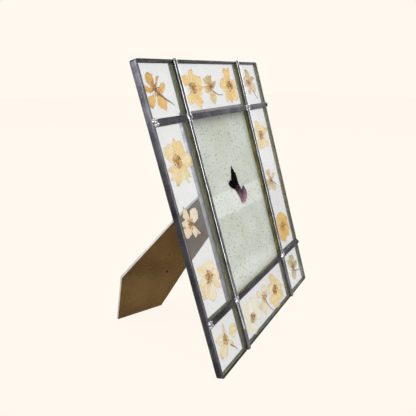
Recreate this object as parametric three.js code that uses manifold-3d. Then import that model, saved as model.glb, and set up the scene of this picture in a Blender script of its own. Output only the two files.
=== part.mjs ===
// A leaded glass frame that stands on a hinged easel leg, with pressed flowers between its panes.
// Millimetres. The frame is drawn flat (x to the right, y up from its bottom edge, z out of its front face)
// and then leaned back about that edge.
import * as THREE from "three";
import { mergeVertices } from "three/addons/utils/BufferGeometryUtils.js";
import Module from "manifold-3d";

// Driving dimensions
const frameWidth = 198;
const frameHeight = 246.6;
const leanDegrees = 15.78;
const cameDepth = 6;
const cameFlange = 0.5;
const clearance = 0.1;
const uprightCentre = 52.7; // from the middle of the frame to the middle of each upright came
const lowBarCentre = 45.2; // height of the lower cross bars
const highBarCentre = 201.4; // height of the upper cross bars
const rimFace = 2.2;
const rimWall = 0.8;
const rimEdgeRadius = 1;
const rimCornerRadius = 2;
const webWidth = 1;
const beadWidth = 5;
const beadRise = 1.8;
const uprightBackWidth = 7;
const barRise = 0.8;
const barBackWidth = 6;
const glassThickness = 2;
const flowerGap = 0.8; // between the front and the back sheet of a pane
const edgeGap = 0.3;
const solderHalfWidth = 3.5;
const solderHalfHeight = 4.2;
const solderRise = 2.4;
const channelOffset = 5.1; // from the middle of a came to the outer side of the rear channel
const channelDepth = 2.8;
const channelWall = 0.4;
const channelLip = 3.5;
const boardThickness = 1.8;
const legThickness = 3;
const legOpenDegrees = 40.7;
const hingeTiltDegrees = 42.2; // the hinge line runs down to the right
const hingeStart = [5.4, 150.8]; // upper left end of the hinge line
const hingeLength = 33.9;
const leafInset = 1;
const leafWidth = 12;
const leafThickness = 0.7;
const knuckleRadius = 1.5;
const boreRadius = 1;
const pinRadius = 0.7;
const heelReach = 3.1;
const footFlat = 0.2; // how much the rim's lowest edge is worn flat where it stands
const sheetLeft = 96.5; // flower outlines are drawn across and down from this far left of the middle
const sheetTop = 246.4;

// Derived places
const lean = THREE.MathUtils.degToRad(leanDegrees);
const halfWidth = frameWidth / 2;
const glassFront = -cameFlange - clearance;
const glassBack = glassFront - glassThickness - flowerGap;
const flowerLevel = glassFront - glassThickness - flowerGap / 2;
const channelFront = -cameDepth - clearance;
const channelBack = channelFront - channelDepth;
const boardFront = channelFront - channelWall - clearance;
const boardBack = boardFront - boardThickness;
const hingeAxisDepth = boardBack - 0.2 - knuckleRadius;
const legFront = -knuckleRadius - edgeGap;

const wasm = await Module();
wasm.setup();

// ---- solids ----

function solidOf(geometry) {
  const bare = geometry.clone();
  bare.deleteAttribute("normal");
  bare.deleteAttribute("uv");
  const merged = mergeVertices(bare, 1e-4);
  const mesh = new wasm.Mesh({
    numProp: 3,
    vertProperties: merged.attributes.position.array,
    triVerts: new Uint32Array(merged.index.array),
  });
  return new wasm.Manifold(mesh);
}

function geometryOf(solid) {
  const { numProp, vertProperties, triVerts } = solid.getMesh();
  const corners = new Float32Array((vertProperties.length / numProp) * 3);
  for (let i = 0; i < corners.length / 3; i += 1) {
    corners.set(vertProperties.subarray(i * numProp, i * numProp + 3), i * 3);
  }
  const geometry = new THREE.BufferGeometry();
  geometry.setAttribute("position", new THREE.BufferAttribute(corners, 3));
  geometry.setIndex(new THREE.BufferAttribute(triVerts, 1));
  return geometry;
}

function joined(geometries) {
  return geometries.map(solidOf).reduce((whole, next) => whole.add(next));
}

function box(x0, x1, y0, y1, z0, z1) {
  const geometry = new THREE.BoxGeometry(x1 - x0, y1 - y0, z1 - z0);
  return geometry.translate((x0 + x1) / 2, (y0 + y1) / 2, (z0 + z1) / 2);
}

function outline(points) {
  return new THREE.Shape(points.map(([x, y]) => new THREE.Vector2(x, y)));
}

// A section drawn as (across, depth), drawn out along x with across going up, or down along y.
function alongX(section, x0, x1) {
  const geometry = new THREE.ExtrudeGeometry(section, { depth: x1 - x0, bevelEnabled: false });
  const turn = new THREE.Matrix4().makeBasis(
    new THREE.Vector3(0, 1, 0),
    new THREE.Vector3(0, 0, 1),
    new THREE.Vector3(1, 0, 0),
  );
  return geometry.applyMatrix4(turn).translate(x0, 0, 0);
}

function alongY(section, y0, y1) {
  const geometry = new THREE.ExtrudeGeometry(section, { depth: y1 - y0, bevelEnabled: false });
  return geometry.rotateX(Math.PI / 2).translate(0, y1, 0);
}

// An egg shape, kept only in front of a level.
function blob(x, y, z, halfX, halfY, halfZ, level) {
  const egg = new THREE.SphereGeometry(1, 10, 6);
  egg.scale(halfX, halfY, halfZ).translate(x, y, z);
  const keep = box(x - 20, x + 20, y - 20, y + 20, level, level + 20);
  return solidOf(egg).intersect(solidOf(keep));
}

function named(name, geometry, color, roughness = 0.5, metalness = 0) {
  const material = new THREE.MeshStandardMaterial({ color, roughness, metalness });
  const mesh = new THREE.Mesh(geometry, material);
  mesh.name = name;
  return mesh;
}

const lead = (name, geometry) => named(name, geometry, "#5b5962", 0.4, 0.9);

// ---- rim ----

function rimSection() {
  const shape = new THREE.Shape();
  shape.moveTo(rimFace, 0);
  shape.lineTo(rimEdgeRadius, 0);
  shape.absarc(rimEdgeRadius, -rimEdgeRadius, rimEdgeRadius, Math.PI / 2, Math.PI, false);
  shape.lineTo(0, -cameDepth + rimEdgeRadius);
  shape.absarc(rimEdgeRadius, -cameDepth + rimEdgeRadius, rimEdgeRadius, Math.PI, Math.PI * 1.5, false);
  shape.lineTo(rimFace, -cameDepth);
  shape.lineTo(rimFace, -cameDepth + cameFlange);
  shape.lineTo(rimWall, -cameDepth + cameFlange);
  shape.lineTo(rimWall, -cameFlange);
  shape.lineTo(rimFace, -cameFlange);
  return outline(shape.extractPoints(4).shape.map((point) => [point.x, point.y]));
}

// Moves the end faces of a length drawn along x, so that they meet the next length at 45 degrees.
function mitred(geometry, length, atStart, atEnd) {
  const place = geometry.attributes.position;
  for (let i = 0; i < place.count; i += 1) {
    const setBack = place.getY(i) + clearance / 2;
    if (atStart && place.getX(i) < 0.01) {
      place.setX(i, setBack);
    }
    if (atEnd && place.getX(i) > length - 0.01) {
      place.setX(i, length - setBack);
    }
  }
  return geometry;
}

function roundedSlab(length) {
  const radius = rimCornerRadius;
  const shape = new THREE.Shape();
  shape.moveTo(0, 20);
  shape.lineTo(0, radius);
  shape.absarc(radius, radius, radius, Math.PI, Math.PI * 1.5, false);
  shape.lineTo(length - radius, 0);
  shape.absarc(length - radius, radius, radius, Math.PI * 1.5, Math.PI * 2, false);
  shape.lineTo(length, 20);
  const slab = new THREE.ExtrudeGeometry(shape, { depth: 10, bevelEnabled: false, curveSegments: 4 });
  return slab.translate(0, 0, -8);
}

function rimLength(name, length, x, y, turn) {
  const bar = mitred(alongX(rimSection(), 0, length), length, true, true);
  const solid = solidOf(bar).intersect(solidOf(roundedSlab(length)));
  const mesh = lead(name, geometryOf(solid));
  mesh.position.set(x, y, 0);
  mesh.rotation.z = turn;
  return mesh;
}

function rim() {
  return [
    rimLength("rim_bottom", frameWidth, -halfWidth, 0, 0),
    rimLength("rim_right", frameHeight, halfWidth, 0, Math.PI / 2),
    rimLength("rim_top", frameWidth, halfWidth, frameHeight, Math.PI),
    rimLength("rim_left", frameHeight, -halfWidth, frameHeight, -Math.PI / 2),
  ];
}

// ---- cames and bars ----

function beadArc() {
  const steps = 8;
  const points = [];
  for (let i = 0; i <= steps; i += 1) {
    const angle = Math.PI * (1 - i / steps);
    points.push([(beadWidth / 2) * Math.cos(angle), beadRise * Math.sin(angle)]);
  }
  return points;
}

function groovedSection(front, backWidth) {
  const web = webWidth / 2;
  const half = beadWidth / 2;
  const back = backWidth / 2;
  return outline([
    ...front,
    [half, -cameFlange],
    [web, -cameFlange],
    [web, -cameDepth + cameFlange],
    [back, -cameDepth + cameFlange],
    [back, -cameDepth],
    [-back, -cameDepth],
    [-back, -cameDepth + cameFlange],
    [-web, -cameDepth + cameFlange],
    [-web, -cameFlange],
    [-half, -cameFlange],
  ]);
}

// The bead alone, just clear of the rim that it laps over, with a round nose at each end.
function beadOverRims() {
  const nose = 2;
  const overhang = 0.8;
  const low = nose - overhang;
  const high = frameHeight - low;
  const half = beadWidth / 2;
  const keep = solidOf(box(-half, half, low, high, clearance, beadRise + 1));
  const middle = solidOf(alongY(outline(beadArc()), low, high)).intersect(keep);
  const bottom = blob(0, low, 0, half, nose, beadRise, clearance);
  const top = blob(0, high, 0, half, nose, beadRise, clearance);
  return middle.add(bottom).add(top);
}

function upright(name, x) {
  const inner = rimFace + clearance;
  const section = groovedSection(beadArc(), uprightBackWidth);
  let solid = solidOf(alongY(section, inner, frameHeight - inner)).add(beadOverRims());
  for (const height of [lowBarCentre, highBarCentre]) {
    solid = solid.add(
      blob(0, height, 0, solderHalfWidth, solderHalfHeight, solderRise, -cameFlange),
    );
  }
  const mesh = lead(name, geometryOf(solid));
  mesh.position.x = x;
  return mesh;
}

function barSection() {
  const half = beadWidth / 2;
  const front = [
    [-half, barRise - 0.4],
    [-half + 0.6, barRise],
    [half - 0.6, barRise],
    [half, barRise - 0.4],
  ];
  return groovedSection(front, barBackWidth);
}

function bar(name, x0, x1, height, end) {
  let solid = solidOf(alongX(barSection(), x0, x1));
  if (end === "solder") {
    solid = solid.add(blob(x0 - 0.9, 0, clearance, 2.6, 3.6, 1.9, clearance));
  }
  if (end === "nub") {
    solid = solid.add(blob(x1 + 1.9, 0, clearance, 3.2, 2.6, 1.6, clearance));
  }
  const mesh = lead(name, geometryOf(solid));
  mesh.position.y = height;
  return mesh;
}

function crossBars() {
  const rimSide = halfWidth - rimFace - clearance;
  const cameSide = uprightCentre + uprightBackWidth / 2 + clearance;
  const middle = uprightCentre - uprightBackWidth / 2 - clearance;
  const rows = { high: highBarCentre, low: lowBarCentre };
  return Object.entries(rows).flatMap(([row, height]) => [
    bar(`bar_${row}_left`, -rimSide, -cameSide, height, "solder"),
    bar(`bar_${row}_middle`, -middle, middle, height, ""),
    bar(`bar_${row}_right`, cameSide, rimSide, height, "nub"),
  ]);
}

// ---- glass ----

const paneEdge = webWidth / 2 + edgeGap;
const rimPaneEdge = rimWall + edgeGap;
const columns = {
  left: [-halfWidth + rimPaneEdge, -uprightCentre - paneEdge],
  middle: [-uprightCentre + paneEdge, uprightCentre - paneEdge],
  right: [uprightCentre + paneEdge, halfWidth - rimPaneEdge],
};
const rows = {
  bottom: [rimPaneEdge, lowBarCentre - paneEdge],
  centre: [lowBarCentre + paneEdge, highBarCentre - paneEdge],
  top: [highBarCentre + paneEdge, frameHeight - rimPaneEdge],
};

function pane(name, column, row, front) {
  const sheet = box(...columns[column], ...rows[row], front - glassThickness, front);
  return named(name, sheet, "#dfe7e6", 0.05);
}

function panes() {
  const sheets = [];
  for (const row of Object.keys(rows)) {
    for (const column of Object.keys(columns)) {
      if (row === "centre" && column === "middle") {
        sheets.push(pane("glass_centre", column, row, glassFront));
      } else {
        sheets.push(pane(`glass_front_${row}_${column}`, column, row, glassFront));
        sheets.push(pane(`glass_back_${row}_${column}`, column, row, glassBack));
      }
    }
  }
  return sheets;
}

// ---- flowers ----
// Each outline runs round a petal as x, y, x, y ... across and down the sheet. The heart is x, y and two
// half widths, and the stem is a line of points.

const flowers = [
  {
    name: "flower_top_left",
    pane: ["left", "top"],
    color: "#c98a52",
    heart: [13.5, 20.5, 3.2, 3.8],
    petals: [
      [9, 9, 15, 10.5, 14.5, 15.5, 13, 20, 11, 19, 7, 17, 5.8, 14, 7, 11],
      [15, 19, 16, 16.5, 19, 11.5, 21.8, 12, 20, 15, 17.5, 18],
      [15, 22, 19, 20, 22, 17.3, 26, 17.3, 27.2, 18.8, 25, 22, 21, 24.5, 16, 24],
      [2.2, 18, 4.5, 18, 8, 19.5, 12, 20, 12, 22, 7.5, 23.5, 4, 23, 2, 21.5],
      [13, 23, 11, 25, 10.8, 29, 8, 33, 4.5, 34.8, 2.5, 32, 2.8, 28, 4.5, 25.5, 8, 25.3],
      [14, 22, 19.5, 25, 23.5, 29.5, 24, 31.5, 22, 35, 20.5, 37.3, 18, 36.5, 14, 34.5, 12, 31.5, 13, 29],
    ],
    stem: [15, 24, 20, 27, 24, 29.5, 28, 31.5, 32.5, 34.2],
  },
  {
    name: "flower_top_mid_left",
    pane: ["middle", "top"],
    color: "#e6c98c",
    heart: [63.5, 22, 4.5, 4],
    petals: [
      [51, 13.5, 56, 11, 60.5, 13, 62, 17, 64, 22, 58, 20, 52, 20],
      [61, 11, 65, 7.5, 68.5, 7, 70, 10.5, 71, 14, 68, 19, 65, 22, 62, 14],
      [67, 21, 70, 12, 78, 13, 80, 16, 79, 19.5, 72, 22],
      [64, 22, 68, 20, 78, 19.5, 80, 22, 76, 25, 70, 25.5],
      [64, 23, 70, 25, 76, 26.5, 75, 28.5, 70, 29, 66, 28],
      [63, 23, 61, 33, 65, 37, 69.8, 40.3, 70.5, 36, 70, 30, 67, 26],
      [66, 26, 66, 32, 70, 36, 74, 35, 73, 31],
      [51, 33, 51, 28, 55, 27, 62, 23, 62, 32, 60, 33.5, 57, 35, 53, 34],
    ],
  },
  {
    name: "flower_top_middle",
    pane: ["middle", "top"],
    color: "#e3cfa6",
    heart: [92, 22, 4, 2.8],
    petals: [
      [87.5, 14.5, 91, 12, 93, 11.5, 96, 12.5, 98.5, 12, 97.5, 15, 97, 20, 92, 22, 89, 18],
      [83.5, 14.5, 86, 15, 89, 18, 91, 22, 88.5, 21, 84.5, 19, 83.5, 16.5],
      [81, 21, 86, 20.5, 91, 21, 91, 24, 86, 27, 81, 26, 82, 23.5],
      [93, 23, 96.5, 19, 99, 17.5, 104, 17.3, 102, 20, 99, 22.5, 97, 23.8],
      [91, 23, 94, 25, 97.5, 28, 98, 32, 95.5, 35.5, 93, 37, 90, 35.5, 87.5, 32, 88, 28],
    ],
    stem: [90, 23, 97, 27, 101, 28.8, 105, 29.6, 110.3, 30],
  },
  {
    name: "flower_top_mid_right",
    pane: ["middle", "top"],
    color: "#e2bb80",
    heart: [128, 22, 5, 3.2],
    petals: [
      [126, 22, 122, 14, 121, 9, 122.5, 6, 126, 5.5, 129, 7, 131, 6, 134, 5.5, 134, 12, 130, 21],
      [110, 20.5, 112, 17, 117, 14.5, 123, 15, 127, 21, 122, 26, 117, 27.5, 113, 25, 109.8, 22.5],
      [117, 27, 116, 33, 116, 36.5, 118.5, 37, 121, 35, 126, 24, 122, 23],
      [121, 34, 124.5, 38.5, 128, 36, 129.5, 29, 128, 23, 124, 24, 121, 29],
      [127, 22, 137, 26, 140, 30, 140, 34, 136, 36, 130, 36, 127, 32],
      [130, 21, 133, 17, 138, 16.5, 140, 20, 140, 26, 134, 25],
    ],
  },
  {
    name: "flower_top_right",
    pane: ["right", "top"],
    color: "#dcd2bb",
    heart: [170, 20.5, 4.2, 2.2],
    petals: [
      [167, 8, 170, 7, 173.5, 8, 176, 11.5, 175.5, 14, 172, 20, 168.5, 20, 167, 12],
      [158.5, 17, 162, 14.5, 167, 14, 171, 20, 163, 19],
      [158, 22, 160, 20, 166, 19, 170, 21, 168, 23, 164, 24.5, 159, 23.5],
      [172, 20, 176, 15, 179, 13.8, 183, 14.5, 186, 15.8, 182, 18, 178, 20, 174, 21.5],
      [171, 20, 180, 21, 183, 24, 183.5, 28, 180, 31, 177, 31.5, 173, 27],
      [170, 21, 167, 26, 165, 29, 165.5, 32, 168, 32.5, 171, 29, 173, 24],
    ],
    stem: [176, 29, 180, 34.5, 183.2, 37.5],
  },
  {
    name: "flower_left_high",
    pane: ["left", "centre"],
    color: "#dfc48d",
    heart: [17, 75.5, 4, 4],
    petals: [
      [19.8, 58, 22, 61, 23.5, 66, 23.5, 70, 19, 77, 17, 70, 16, 64, 17.5, 60],
      [9.5, 61.5, 13, 61.5, 16.5, 64, 19, 75, 15, 74, 11, 72, 8, 67],
      [5.5, 63.5, 9, 63.5, 12, 66, 17, 75, 9, 75, 5.5, 71, 3.5, 68],
      [18, 75, 22, 62, 27, 60.5, 29, 64, 29.5, 70, 25, 74],
      [17, 76, 23, 72, 26, 70.5, 31, 71, 35, 72.5, 36.5, 77.5, 34, 79, 30, 79.5, 23, 79],
      [20, 77, 26, 78.5, 35, 79, 34.5, 82, 28, 82.5, 22, 80],
      [17, 77, 25, 81, 28, 85, 29.5, 90, 26, 89.5, 22, 87, 18, 82],
      [20, 84, 24, 90, 26.5, 94, 23, 93, 20, 90, 18, 85],
      [17, 76, 17.5, 84, 17, 90, 13, 92.5, 9.5, 93, 9, 88, 10, 84],
      [4, 80, 10, 79, 17, 76, 14, 84, 8, 88, 4, 87, 6, 84],
      [3.5, 79, 9, 77, 16, 75, 14, 79, 8, 81, 3.5, 81],
    ],
  },
  {
    name: "flower_left_middle",
    pane: ["left", "centre"],
    color: "#ebe0c2",
    heart: [12.5, 123.5, 3, 3.4],
    petals: [
      [9, 109, 12, 112, 13.5, 117, 13, 124, 10, 121, 6.5, 118, 5.8, 114.5, 7.5, 111],
      [15.5, 115, 18, 113, 22, 113, 25, 114.5, 25.8, 118, 24, 122, 21, 123.3, 14, 125, 13.5, 121],
      [2, 120, 5, 118.7, 9, 119.7, 14, 124, 11, 126, 6, 124.5, 2.5, 123],
      [1.5, 126, 5, 124, 13, 124, 11, 130.5, 8, 132.5, 5, 132.7, 2, 131, 1, 129],
      [12, 125, 15, 127, 18, 131, 17.5, 134, 14, 134.5, 12, 131],
      [14, 125, 19, 128, 22.5, 133.5, 19, 133.5, 15, 129],
    ],
    stem: [12, 121.5, 17, 126, 21, 131.5, 24, 135, 27.5, 139],
  },
  {
    name: "flower_left_low",
    pane: ["left", "centre"],
    color: "#e9ddbc",
    heart: [17.5, 168.5, 4.2, 4.2],
    petals: [
      [5.5, 157.5, 9, 156.5, 13, 157, 15.5, 160, 18, 168, 12, 167, 6, 162],
      [15, 158, 22, 156, 26, 158.5, 28, 160, 28, 165, 22, 167, 18, 169],
      [18, 168, 29, 166, 32, 170, 31.5, 175, 27, 177, 22, 173],
      [18, 169, 28, 178, 31, 182, 29, 183, 23, 180],
      [12, 178, 11, 184, 13, 187.5, 16, 189, 20, 187, 22, 184, 21, 176, 18, 169, 15, 172],
      [3.5, 176, 12, 173, 18, 168, 13, 182, 8, 183, 4, 182],
      [1.5, 171, 5, 167, 17, 168, 12, 175, 5, 176, 1.5, 173],
    ],
  },
  {
    name: "flower_bottom_left",
    pane: ["left", "bottom"],
    color: "#e4dcca",
    heart: [17.5, 223, 3, 3.6],
    petals: [
      [19.3, 209.8, 21, 215, 20.5, 221, 18, 224, 16, 220, 16, 216, 17.5, 212],
      [4, 217.5, 8, 215.5, 12, 215.5, 18, 222, 14, 225, 9, 224, 6, 221],
      [5, 229, 7, 226, 11, 224.5, 18, 223, 18, 229, 17.5, 234, 13, 236, 8, 235, 5.5, 233],
      [18, 220, 23, 226, 26.5, 230, 27, 232, 23, 232.5, 19, 229, 16, 224],
    ],
    stem: [22, 230, 25.5, 233.5, 28, 236, 30, 239.3],
  },
  {
    name: "loose_petal",
    pane: ["left", "bottom"],
    color: "#e8e2d2",
    petals: [[25, 221, 28, 217, 33, 216.5, 36.5, 220, 36.5, 224, 34, 227.5, 30, 229, 27, 226, 25, 223]],
  },
  {
    name: "flower_bottom_mid_left",
    pane: ["middle", "bottom"],
    color: "#e9dfbf",
    heart: [66, 229, 4, 3.4],
    petals: [
      [52.5, 213, 57, 212, 62, 215, 66, 222, 67, 230, 60, 226, 54, 219],
      [61, 214, 66, 212.5, 72, 211, 75, 214, 72, 222, 66, 230, 62, 222],
      [74, 214, 78, 216, 81.5, 220, 81, 225, 74, 228, 66, 230, 70, 220],
      [81, 225, 80.5, 232, 77, 236.5, 71, 234, 66, 229, 73, 226],
      [72, 239, 68, 243, 63.5, 244, 60, 240, 62, 233, 66, 228, 71, 233],
      [52, 236, 56, 239, 61, 238, 67, 230, 60, 229, 53, 230],
      [51, 228, 50.5, 222, 55, 219, 61, 224, 67, 229, 58, 230],
    ],
  },
  {
    name: "flower_bottom_middle",
    pane: ["middle", "bottom"],
    color: "#e6d9b4",
    heart: [95.5, 222.5, 4.5, 3.6],
    petals: [
      [85, 211.5, 88, 213.5, 95, 222, 88, 220, 83.5, 219, 83, 215],
      [93, 214, 97, 212, 101, 213, 103, 216, 102, 219, 96, 223],
      [82, 227, 86, 224, 95, 222, 93, 228, 85, 230, 82, 229],
      [86, 229, 93, 225, 95, 223, 97, 232, 96, 236, 91, 238.5, 88, 237.5, 85, 233],
      [95, 222, 101.5, 218.5, 103.3, 221, 100.5, 224],
    ],
    stem: [95, 224, 98, 231, 100.5, 235, 104, 239.5, 107, 242],
  },
  {
    name: "flower_bottom_mid_right",
    pane: ["middle", "bottom"],
    color: "#e3bf86",
    heart: [119.5, 226, 4.6, 3.8],
    petals: [
      [115, 208.5, 119, 209, 123, 211, 126, 215.5, 127, 217.5, 120, 226, 115, 216, 113, 212],
      [106, 217, 110, 216, 115, 217, 121, 226, 112, 226, 107, 225.5, 104.8, 221],
      [103.5, 230, 108, 228, 120, 226, 114, 234, 108.5, 236, 105, 233],
      [108, 238, 114, 234, 119, 226, 124, 239, 121, 244, 116, 244],
      [120, 226, 126, 218, 131, 219, 134, 223, 138, 228, 140, 230, 136, 232, 128, 231],
      [119, 226, 133, 232, 135, 237, 131, 240, 125, 239, 120, 233],
    ],
  },
  {
    name: "flower_bottom_right",
    pane: ["right", "bottom"],
    color: "#d2a46b",
    heart: [173, 223, 2.8, 3.4],
    petals: [
      [168, 211.5, 172, 209, 176, 210.5, 180.5, 212.5, 180, 217, 173, 223, 170, 219, 167.5, 215],
      [162.5, 211.5, 166, 213, 169, 217, 174, 223, 169, 223, 165, 220, 163, 216],
      [172, 222, 180, 219, 184, 219.5, 186.5, 221, 184, 224, 180, 226, 173, 225],
      [166, 228, 172, 223, 177, 229, 179, 232, 176, 236, 172, 237.5, 168, 235, 165.5, 231],
    ],
    stem: [172, 223, 176, 228, 180, 230, 185, 231, 189.5, 233],
  },
  {
    name: "flower_right_high",
    pane: ["right", "centre"],
    color: "#dcc08a",
    heart: [170, 75, 4.6, 3.8],
    petals: [
      [162, 62, 168, 59, 171, 61, 174, 66, 171, 76, 165, 70, 161, 66],
      [158.5, 68, 165, 70, 171, 75, 162, 78, 158, 76],
      [170, 76, 178, 65, 183, 67, 190, 70.5, 184, 75, 174, 76],
      [170, 75, 180, 78, 184, 82, 184.5, 88.5, 180, 88, 174, 86],
      [170, 75, 174, 84, 173, 88, 167, 88, 166, 82],
      [160, 80, 170, 75, 168, 84, 166, 88, 162, 89.5, 159, 86],
    ],
  },
  {
    name: "flower_right_middle",
    pane: ["right", "centre"],
    color: "#e8dfc6",
    heart: [169, 123.5, 3, 3],
    petals: [
      [162, 112.5, 165, 111.5, 168, 112, 171, 110.5, 172, 113, 171.5, 117, 169, 124, 164, 119, 161.5, 115],
      [169, 124, 174, 118.5, 178, 116.5, 182, 117.5, 180, 120, 176, 123],
      [158, 122, 160, 120.5, 170, 123, 163, 128, 159, 127],
      [157.5, 131, 163, 127, 169, 123, 165, 130, 162, 132, 158, 132],
      [166, 129, 169, 123, 177, 130, 178, 133.5, 174, 135.5, 170, 134.5],
    ],
    stem: [169, 123, 175, 127, 180, 130, 184, 133.8],
  },
  {
    name: "flower_right_low",
    pane: ["right", "centre"],
    color: "#cf9a4e",
    heart: [171, 175, 6, 4],
    petals: [
      [162, 162, 166, 160.5, 171, 159.5, 175, 161, 173, 176, 164, 172],
      [174, 161, 178, 161.5, 181, 164, 185, 167, 172, 176],
      [184, 167, 188, 170, 186, 173, 185, 178, 171, 177, 175, 169],
      [185, 177, 187.5, 183, 184, 185, 181, 189, 171, 176],
      [182, 187, 177, 188.5, 173, 190, 171.5, 193, 168.5, 192, 168, 189, 171, 175],
      [169, 190, 163, 190, 160.5, 188, 160, 183, 171, 174, 173, 180],
      [160, 185, 158, 179, 157.5, 173, 159, 168, 160, 165, 164, 162, 172, 175],
    ],
  },
];

const driedFlower = [
  [97.7, 93.5, 99.7, 97.5, 102.7, 102.5, 103.2, 108.5, 104, 115.5, 102, 122, 96, 117.5, 92, 106, 94.2, 100.5],
  [86, 108, 88.2, 106, 92.2, 105.5, 98, 106, 99, 113, 94.2, 115, 89.2, 113, 86.2, 110.5],
  [98, 113, 104, 114, 106.2, 119, 104.2, 129, 102.7, 130.8, 100.7, 128.5, 99.7, 124.5, 96.5, 118],
  [104, 120, 107.7, 117, 109.7, 115, 112.2, 116.5, 114.2, 121.5, 113.7, 126.5, 108.2, 130.5, 103.5, 128],
];
const driedFlowerLevel = -4.6;
const petalThickness = 0.2;
const petalStagger = 0.04;
const petalPoints = 11;
const stemWidth = 0.9;

const onSheet = (x, y) => new THREE.Vector2(x - sheetLeft, sheetTop - y);

function sheetPoints(numbers) {
  const points = [];
  for (let i = 0; i < numbers.length; i += 2) {
    points.push(onSheet(numbers[i], numbers[i + 1]));
  }
  return points;
}

function flat(points, bottom, thickness) {
  const shape = new THREE.Shape(points);
  const geometry = new THREE.ExtrudeGeometry(shape, { depth: thickness, bevelEnabled: false });
  return geometry.translate(0, 0, bottom);
}

function petal(numbers, bottom) {
  const corners = sheetPoints(numbers).map((point) => new THREE.Vector3(point.x, point.y, 0));
  const edge = new THREE.CatmullRomCurve3(corners, true, "catmullrom", 0.45);
  const round = edge.getPoints(petalPoints).slice(0, -1);
  return flat(round.map((point) => new THREE.Vector2(point.x, point.y)), bottom, petalThickness);
}

function stem(numbers, bottom) {
  const line = new THREE.SplineCurve(sheetPoints(numbers));
  const left = [];
  const right = [];
  for (let i = 0; i <= 6; i += 1) {
    const point = line.getPoint(i / 6);
    const side = line.getTangent(i / 6);
    left.push(new THREE.Vector2(point.x - (side.y * stemWidth) / 2, point.y + (side.x * stemWidth) / 2));
    right.unshift(new THREE.Vector2(point.x + (side.y * stemWidth) / 2, point.y - (side.x * stemWidth) / 2));
  }
  return flat([...left, ...right], bottom, petalThickness);
}

function heart([x, y, halfX, halfY], bottom) {
  const disc = new THREE.CylinderGeometry(1, 1, 2 * petalThickness, 10);
  const centre = onSheet(x, y);
  disc.rotateX(Math.PI / 2).scale(halfX, halfY, 1);
  return disc.translate(centre.x, centre.y, bottom + petalThickness);
}

function bloom({ name, pane: [column, row], color, heart: middle, petals, stem: stalk }) {
  const bottom = flowerLevel - petalThickness;
  const pieces = petals.map((numbers, i) => petal(numbers, bottom + petalStagger * (1 + (i % 4))));
  if (middle) {
    pieces.push(heart(middle, bottom));
  }
  if (stalk) {
    pieces.push(stem(stalk, bottom + petalStagger / 2));
  }
  const [x0, x1] = columns[column];
  const [y0, y1] = rows[row];
  const inside = box(x0, x1, y0, y1, bottom - 1, bottom + 1);
  return named(name, geometryOf(joined(pieces).intersect(solidOf(inside))), color, 0.8);
}

function centrePieces() {
  const pieces = driedFlower.map((numbers, i) => petal(numbers, driedFlowerLevel + petalStagger * i));
  const paperFront = -4.9;
  const paper = box(...columns.middle, ...rows.centre, paperFront - 0.4, paperFront);
  return [
    named("dried_flower", geometryOf(joined(pieces)), "#3a2c33", 0.9),
    named("paper_insert", paper, "#cfd0c4", 0.9),
  ];
}

// ---- rear ----

function channelSection() {
  return outline([
    [0, channelFront],
    [0, channelBack],
    [channelLip, channelBack],
    [channelLip, channelBack + channelWall],
    [channelWall, channelBack + channelWall],
    [channelWall, channelFront - channelWall],
    [channelLip, channelFront - channelWall],
    [channelLip, channelFront],
  ]);
}

function channelLength(name, length, x, y, turn, startMitred, endMitred) {
  const geometry = mitred(alongX(channelSection(), 0, length), length, startMitred, endMitred);
  const mesh = named(name, geometry, "#b9b6c0", 0.35, 0.9);
  mesh.position.set(x, y, 0);
  mesh.rotation.z = turn;
  return mesh;
}

function rearChannel() {
  const side = uprightCentre + channelOffset;
  const bottom = lowBarCentre - channelOffset;
  const height = highBarCentre + channelOffset - bottom;
  return [
    channelLength("channel_bottom", 2 * side, -side, bottom, 0, true, true),
    channelLength("channel_right", height, side, bottom, Math.PI / 2, true, false),
    channelLength("channel_left", height, -side, bottom + height, -Math.PI / 2, false, true),
  ];
}

function backingBoard() {
  const half = uprightCentre + channelOffset - channelWall - edgeGap;
  const bottom = lowBarCentre - channelOffset + channelWall + edgeGap;
  const board = box(-half, half, bottom, highBarCentre + channelOffset, boardBack, boardFront);
  return named("backing_board", board, "#5c4a34", 0.85);
}

function cylinderAlong(x0, x1, radius) {
  const geometry = new THREE.CylinderGeometry(radius, radius, x1 - x0, 14);
  return geometry.rotateZ(Math.PI / 2).translate((x0 + x1) / 2, 0, 0);
}

// A plate beside the pin (side 1 above it, -1 below), cut away round the other leaf's knuckles.
function hingeLeaf(name, side, ownSpans, otherSpans) {
  const start = leafInset;
  const end = hingeLength - leafInset;
  const inner = knuckleRadius - leafThickness;
  const ys = side > 0 ? [0, leafWidth] : [-leafWidth, 0];
  const zs = side > 0 ? [inner, knuckleRadius] : [-knuckleRadius, -inner];
  let solid = solidOf(box(start, end, ...ys, ...zs));
  for (const [x0, x1] of otherSpans) {
    solid = solid.subtract(solidOf(cylinderAlong(x0, x1, knuckleRadius + 0.4)));
  }
  for (const [x0, x1] of ownSpans) {
    solid = solid.add(solidOf(cylinderAlong(x0, x1, knuckleRadius)));
  }
  solid = solid.subtract(solidOf(cylinderAlong(start - 1, end + 1, boreRadius)));
  return named(name, geometryOf(solid), "#8d8a86", 0.4, 0.9);
}

function hingePin() {
  const start = leafInset - edgeGap;
  const end = hingeLength - leafInset + edgeGap;
  const head = 0.6;
  const profile = [
    [0, -head],
    [1.3, -head],
    [1.3, 0],
    [pinRadius, 0],
    [pinRadius, end - start],
    [1.3, end - start],
    [1.3, end - start + head],
    [0, end - start + head],
  ].map(([x, y]) => new THREE.Vector2(x, y));
  const pin = new THREE.LatheGeometry(profile, 12).rotateZ(-Math.PI / 2).translate(start, 0, 0);
  return named("hinge_pin", geometryOf(solidOf(pin)), "#8d8a86", 0.4, 0.9);
}

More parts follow.
